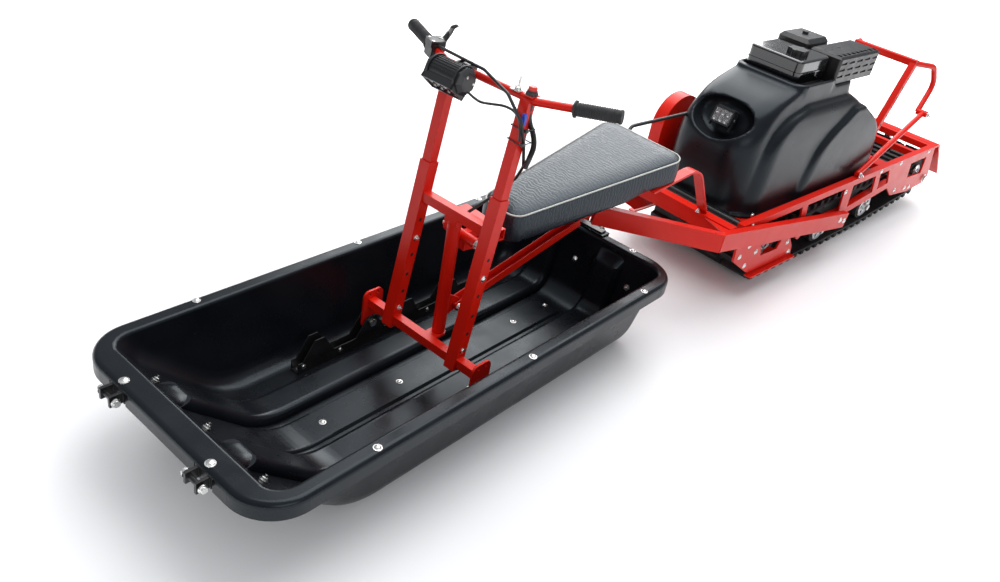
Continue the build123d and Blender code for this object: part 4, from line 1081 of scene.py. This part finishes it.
def weld_beads():
    """Bead of weld along the elbows and the rear handle's joints."""
    shape = Shape()
    for side in SIDES:
        mirror = Matrix.Diagonal((1, side, 1))
        for start, end in WELD_LINES:
            start, end = mirror @ Vector(start), mirror @ Vector(end)
            points = [start.lerp(end, step / WELD_STEPS) for step in range(WELD_STEPS + 1)]
            shape.tube(points, lambda step: WELD_RIPPLE[step % 2], 8)
    shape.build("weld_beads", "weld", "tow", 80.0)


STRUT_JOINT_Y = 240
STRUT_JOINT_ROWS = ((-34, 12), (-33, 15), (20, 15), (21, 12))


def strut_joints():
    """Short cross tubes that join the rear handle's curved tubes to the struts."""
    shape = Shape()
    for side in SIDES:
        shape.lathe((STRUT_TOP_X, side * STRUT_JOINT_Y, STRUT_TOP_Z), (0, side, 0), STRUT_JOINT_ROWS, 20)
    shape.build("strut_joints", "red_paint", "tow")


PULLEY_PLACE = (-2560, -176, 470)
PULLEY_ROWS = ((-9, 34), (-7, 36), (-3, 26), (3, 26), (7, 36), (9, 34))
PULLEY_PIN_ROWS = ((-14, 8), (18, 8))


def pulley():
    """Rope pulley on the rear handle's right post."""
    shape = Shape().lathe(PULLEY_PLACE, (0, 1, 0), PULLEY_ROWS, 26)
    shape.lathe(PULLEY_PLACE, (0, 1, 0), PULLEY_PIN_ROWS, 16)
    shape.build("pulley", "black_steel", "tow")


tow_fasteners()
post_holes()
wheel_rims()
weld_beads()
strut_joints()
pulley()


# Hood

HOOD_BASE = 323.0
HOOD_DOME = (
    # height, front x, rear x, half width, corner radius, as in the part's source
    (HOOD_BASE, -1326.0, -2470.0, 196.0, 120.0), (590.0, -1302.0, -2360.0, 181.0, 112.0),
    (700.0, -1362.0, -2165.0, 170.0, 100.0), (760.0, -1450.0, -2120.0, 163.0, 82.0),
    (812.0, -1610.0, -2105.0, 156.0, 60.0),
)
HOOD_SHOULDER = (
    (HOOD_BASE, -1350.0, -2472.0, 226.0, 125.0), (590.0, -1402.0, -2385.0, 213.0, 100.0),
    (690.0, -1510.0, -2215.0, 200.0, 80.0), (735.0, -1680.0, -2110.0, 184.0, 55.0),
)
HOOD_FLANK = (
    (HOOD_BASE, -1700.0, -2476.0, 244.0, 90.0), (560.0, -1815.0, -2410.0, 236.0, 70.0),
    (690.0, -2080.0, -2190.0, 220.0, 30.0),
)
HOOD_ROW_STEPS = 7
HOOD_BANDS = (
    # front x, rear x, half width, corner radius, low and high z: two flanges and the engine's collar
    (-1340, -2484, 236, 130, (HOOD_BASE, HOOD_BASE + 9)),
    (-1700, -2486, 252, 96, (HOOD_BASE, HOOD_BASE + 9)),
    (-1606, -1930, 162, 58, (740, 826)),
)
ENGINE_OPENING = (-1640, -1960, 147, 40, (770, 900))
ENGINE_STEP = ((-2600, -300, 796), (-1912, 300, 950))
LAMP_POCKET = (
    # distance along the lamp's axis, half width, half height
    (60, 150, 106), (-30, 127, 85), (-62, 114, 75), (-LAMP_DEPTH, 92, 57),
)
POCKET_SHIELD = 0.13
HOOD_VOXEL = 0.006
HOOD_SMOOTHING = 0.5
HOOD_SMOOTH_ROUNDS = 5


def rounded_ring(front, rear, half, radius, z, corner_steps=10):
    """Level rounded rectangle as a ring of points."""
    ring = []
    corners = ((front - radius, half - radius, 0), (rear + radius, half - radius, 90),
               (rear + radius, radius - half, 180), (front - radius, radius - half, 270))
    for x, y, start in corners:
        for step in range(corner_steps + 1):
            angle = math.radians(start + 90 * step / corner_steps)
            ring.append(Vector((x + radius * math.cos(angle), y + radius * math.sin(angle), z)))
    return ring


def band(front, rear, half, radius, heights):
    """Two level rings of one outline, for an upright wall."""
    return [rounded_ring(front, rear, half, radius, z) for z in heights]


def smooth_rows(rows, steps):
    """Rows of a section table with rounded changes between them."""
    lines = curve_through([row[:3] for row in rows], steps)
    sizes = curve_through([(row[3], row[4], 0.0) for row in rows], steps)
    return [(*line, size.x, size.y) for line, size in zip(lines, sizes)]


def lamp_axes():
    out = Vector((math.cos(LAMP_TILT), 0.0, math.sin(LAMP_TILT)))
    up = Vector((-math.sin(LAMP_TILT), 0.0, math.cos(LAMP_TILT)))
    return out, up


def lamp_oval(distance, half_width, half_height):
    """Outline of the lamp's pocket, a little wider at its top."""
    out, up = lamp_axes()
    center = LAMP_CENTER + out * distance
    ring = []
    for angle in circle_angles(56):
        wide = half_width * (1.0 + POCKET_SHIELD * math.sin(angle))
        ring.append(center + Vector((0, wide * math.cos(angle), 0)) + up * half_height * math.sin(angle))
    return ring


def melt(piece, name):
    remesh = piece.modifiers.new(name, "REMESH")
    remesh.mode = "VOXEL"
    remesh.voxel_size = HOOD_VOXEL


def freeze(piece):
    """Replaces a piece's mesh by its result, and takes away its cutters."""
    graph = bpy.context.evaluated_depsgraph_get()
    result = bpy.data.meshes.new_from_object(piece.evaluated_get(graph))
    cutters = [modifier.object for modifier in piece.modifiers if modifier.type == "BOOLEAN"]
    piece.modifiers.clear()
    piece.data = result
    result.polygons.foreach_set("use_smooth", [True] * len(result.polygons))
    for cutter in cutters:
        bpy.data.objects.remove(cutter)


def hood():
    """The moulded hood: three layers melted together, with the lamp's pocket and the engine's opening cut."""
    layers = Shape()
    for rows in (HOOD_DOME, HOOD_SHOULDER, HOOD_FLANK):
        layers.skin([rounded_ring(front, rear, half, radius, z)
                     for z, front, rear, half, radius in smooth_rows(rows, HOOD_ROW_STEPS)])
    for row in HOOD_BANDS:
        layers.skin(band(*row))
    piece = layers.build("hood_shell", "hood_plastic", "tow", 180.0)
    melt(piece, "melt")
    pocket = Shape().skin([lamp_oval(*row) for row in LAMP_POCKET])
    opening = Shape().skin(band(*ENGINE_OPENING))
    step = Shape().box(*ENGINE_STEP)
    for cutter in (pocket, opening, step):
        cut = piece.modifiers.new("cut", "BOOLEAN")
        cut.operation = "DIFFERENCE"
        cut.solver = "EXACT"
        cut.object = cutter.to_object("hood_cutter")
    melt(piece, "soften")
    smooth = piece.modifiers.new("smooth", "SMOOTH")
    smooth.factor = HOOD_SMOOTHING
    smooth.iterations = HOOD_SMOOTH_ROUNDS
    freeze(piece)
    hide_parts("hood")


# Hood lamp, in axes of its own: out of the hood, left and up
HOOD_LAMP_FIN_X = (-34, -28, -22, -16, -10, -4)
HOOD_LAMP_FIN = ((0, -40, 30), (3, 40, 38))
HOOD_LAMP_ARM_INNER = 43
HOOD_LAMP_ARM_OUTER = 47
HOOD_LAMP_CUPS = (
    # x, columns, rows, profile
    0.4, (-24, 0, 24), (-13, 13), ((0, 3), (0.6, 4), (3.5, 9), (5, 11.5), (0.5, 12)),
)
HOOD_LAMP_LENS = ((5.6, -37, -25), (7.2, 37, 25))
HOOD_LAMP_BOLT_X = -15


def hood_lamp_parts():
    """Bezel, reflectors and lens of the lamp in the hood's pocket."""
    out, up = lamp_axes()
    side = Vector((0, 1, 0))
    front = LAMP_CENTER - out * (LAMP_DEPTH - LAMP_LENGTH)
    placing = Matrix.Translation(front) @ Matrix((out, side, up)).transposed().to_4x4()
    body = Shape()
    body.bezel(placing, 0, 7, 44, 32)
    for x in HOOD_LAMP_FIN_X:
        body.box(*HOOD_LAMP_FIN, placing @ Matrix.Translation((x, 0, 0)))
    for end in SIDES:
        body.box((-22, end * HOOD_LAMP_ARM_INNER, -46), (-8, end * HOOD_LAMP_ARM_OUTER, 10), placing)
    body.build("hood_lamp_bezel", "lamp_body", "tow")
    lamp_cups("hood_lamp_cups", "tow", placing, *HOOD_LAMP_CUPS)
    Shape().box(*HOOD_LAMP_LENS, placing).build("hood_lamp_lens", "lens", "tow")
    bolts = Shape()
    for end in SIDES:
        bolts.bolt(placing @ Vector((HOOD_LAMP_BOLT_X, end * HOOD_LAMP_ARM_OUTER, 0)), side * end, 5)
    bolts.build("hood_lamp_bolts", "zinc_steel", "tow")


hood()
hood_lamp_parts()


# Stage, light and camera, in metres

FLOOR_SIZE = 60.0
FLOOR_Z = -0.0005
FLOOR_COLOR = (0.86, 0.86, 0.87)
STAGE_MIDDLE = (-1.0, 0.0, 0.0)
WHITE_FROM = 1.3
WHITE_AT = 4.2
NEAR_LIFT = 0.02
FAR_LIFT = 1.0


def seen_directly(tree):
    """One for the rays of the camera, reflections and glass, and nothing for the light."""
    path = add_node(tree, "LightPath", {})
    seen = path.outputs["Is Camera Ray"]
    for other in ("Is Glossy Ray", "Is Transmission Ray"):
        either = add_node(tree, "Math", {0: seen, 1: path.outputs[other]})
        either.operation = "MAXIMUM"
        seen = either.outputs[0]
    return seen


def floor_lift(tree):
    """Emission that turns the floor white away from the object and lights nothing."""
    place = add_node(tree, "TexCoord", {}).outputs["Object"]
    distance = add_node(tree, "VectorMath", {0: place, 1: STAGE_MIDDLE})
    distance.operation = "DISTANCE"
    rise = add_node(tree, "MapRange", {
        "Value": distance.outputs["Value"], "From Min": WHITE_FROM, "From Max": WHITE_AT,
        "To Min": NEAR_LIFT, "To Max": FAR_LIFT})
    rise.interpolation_type = "SMOOTHSTEP"
    strength = add_node(tree, "Math", {0: rise.outputs["Result"], 1: seen_directly(tree)})
    strength.operation = "MULTIPLY"
    return add_node(tree, "Emission", {"Strength": strength.outputs[0]}).outputs["Emission"]


def make_floor():
    bpy.ops.mesh.primitive_plane_add(size=FLOOR_SIZE, location=(0.0, 0.0, FLOOR_Z))
    floor = bpy.context.object
    floor.name = "floor"
    material = bpy.data.materials.new("floor_white")
    material.use_nodes = True
    tree = material.node_tree
    tree.nodes.clear()
    diffuse = add_node(tree, "BsdfDiffuse", {"Color": (*FLOOR_COLOR, 1.0)})
    both = add_node(tree, "AddShader", {0: diffuse.outputs["BSDF"], 1: floor_lift(tree)})
    add_node(tree, "OutputMaterial", {"Surface": both.outputs[0]})
    floor.data.materials.append(material)


SOFTBOXES = (
    # name, place, aimed at, width, height, power in watts
    ("overhead_box", (-2.3, -0.6, 4.3), (-1.4, -0.1, 0.0), 4.2, 6.0, 265.0),
    ("rear_box", (-4.9, -4.0, 3.2), (-1.2, 0.0, 0.4), 4.6, 2.6, 170.0),
    ("side_box", (1.4, 4.4, 2.2), (-0.8, 0.0, 0.4), 3.0, 1.6, 34.0),
)
WORLD_COLOR = (0.93, 0.96, 1.0)
WORLD_AT_HORIZON = 0.24
WORLD_AT_ZENITH = 0.7


def make_world():
    """Pale sky, dim at the horizon and brighter overhead."""
    world = bpy.data.worlds.new("studio")
    bpy.context.scene.world = world
    world.use_nodes = True
    tree = world.node_tree
    direction = add_node(tree, "TexCoord", {}).outputs["Generated"]
    height = add_node(tree, "SeparateXYZ", {"Vector": direction}).outputs["Z"]
    rise = add_node(tree, "MapRange", {
        "Value": height, "To Min": WORLD_AT_HORIZON, "To Max": WORLD_AT_ZENITH})
    background = tree.nodes["Background"]
    feed(tree, background.inputs["Color"], (*WORLD_COLOR, 1.0))
    feed(tree, background.inputs["Strength"], rise.outputs["Result"])


def make_lamps():
    for name, place, target, width, height, power in SOFTBOXES:
        lamp = bpy.data.lights.new(name, "AREA")
        lamp.shape = "RECTANGLE"
        lamp.size = width
        lamp.size_y = height
        lamp.energy = power
        box = add_object(name, lamp)
        box.location = place
        aim = Vector(target) - Vector(place)
        box.rotation_euler = aim.to_track_quat("-Z", "Y").to_euler()


def make_camera():
    camera = bpy.data.cameras.new("camera")
    camera.sensor_width = SENSOR_WIDTH
    camera.lens = CAMERA_LENS
    camera.clip_end = CAMERA_REACH
    holder = add_object("camera", camera)
    holder.location = CAMERA_PLACE
    holder.rotation_euler = [math.radians(angle) for angle in CAMERA_TURN_DEG]
    bpy.context.scene.camera = holder


make_floor()
make_world()
make_lamps()
make_camera()
bpy.context.scene.view_settings.view_transform = "Standard"
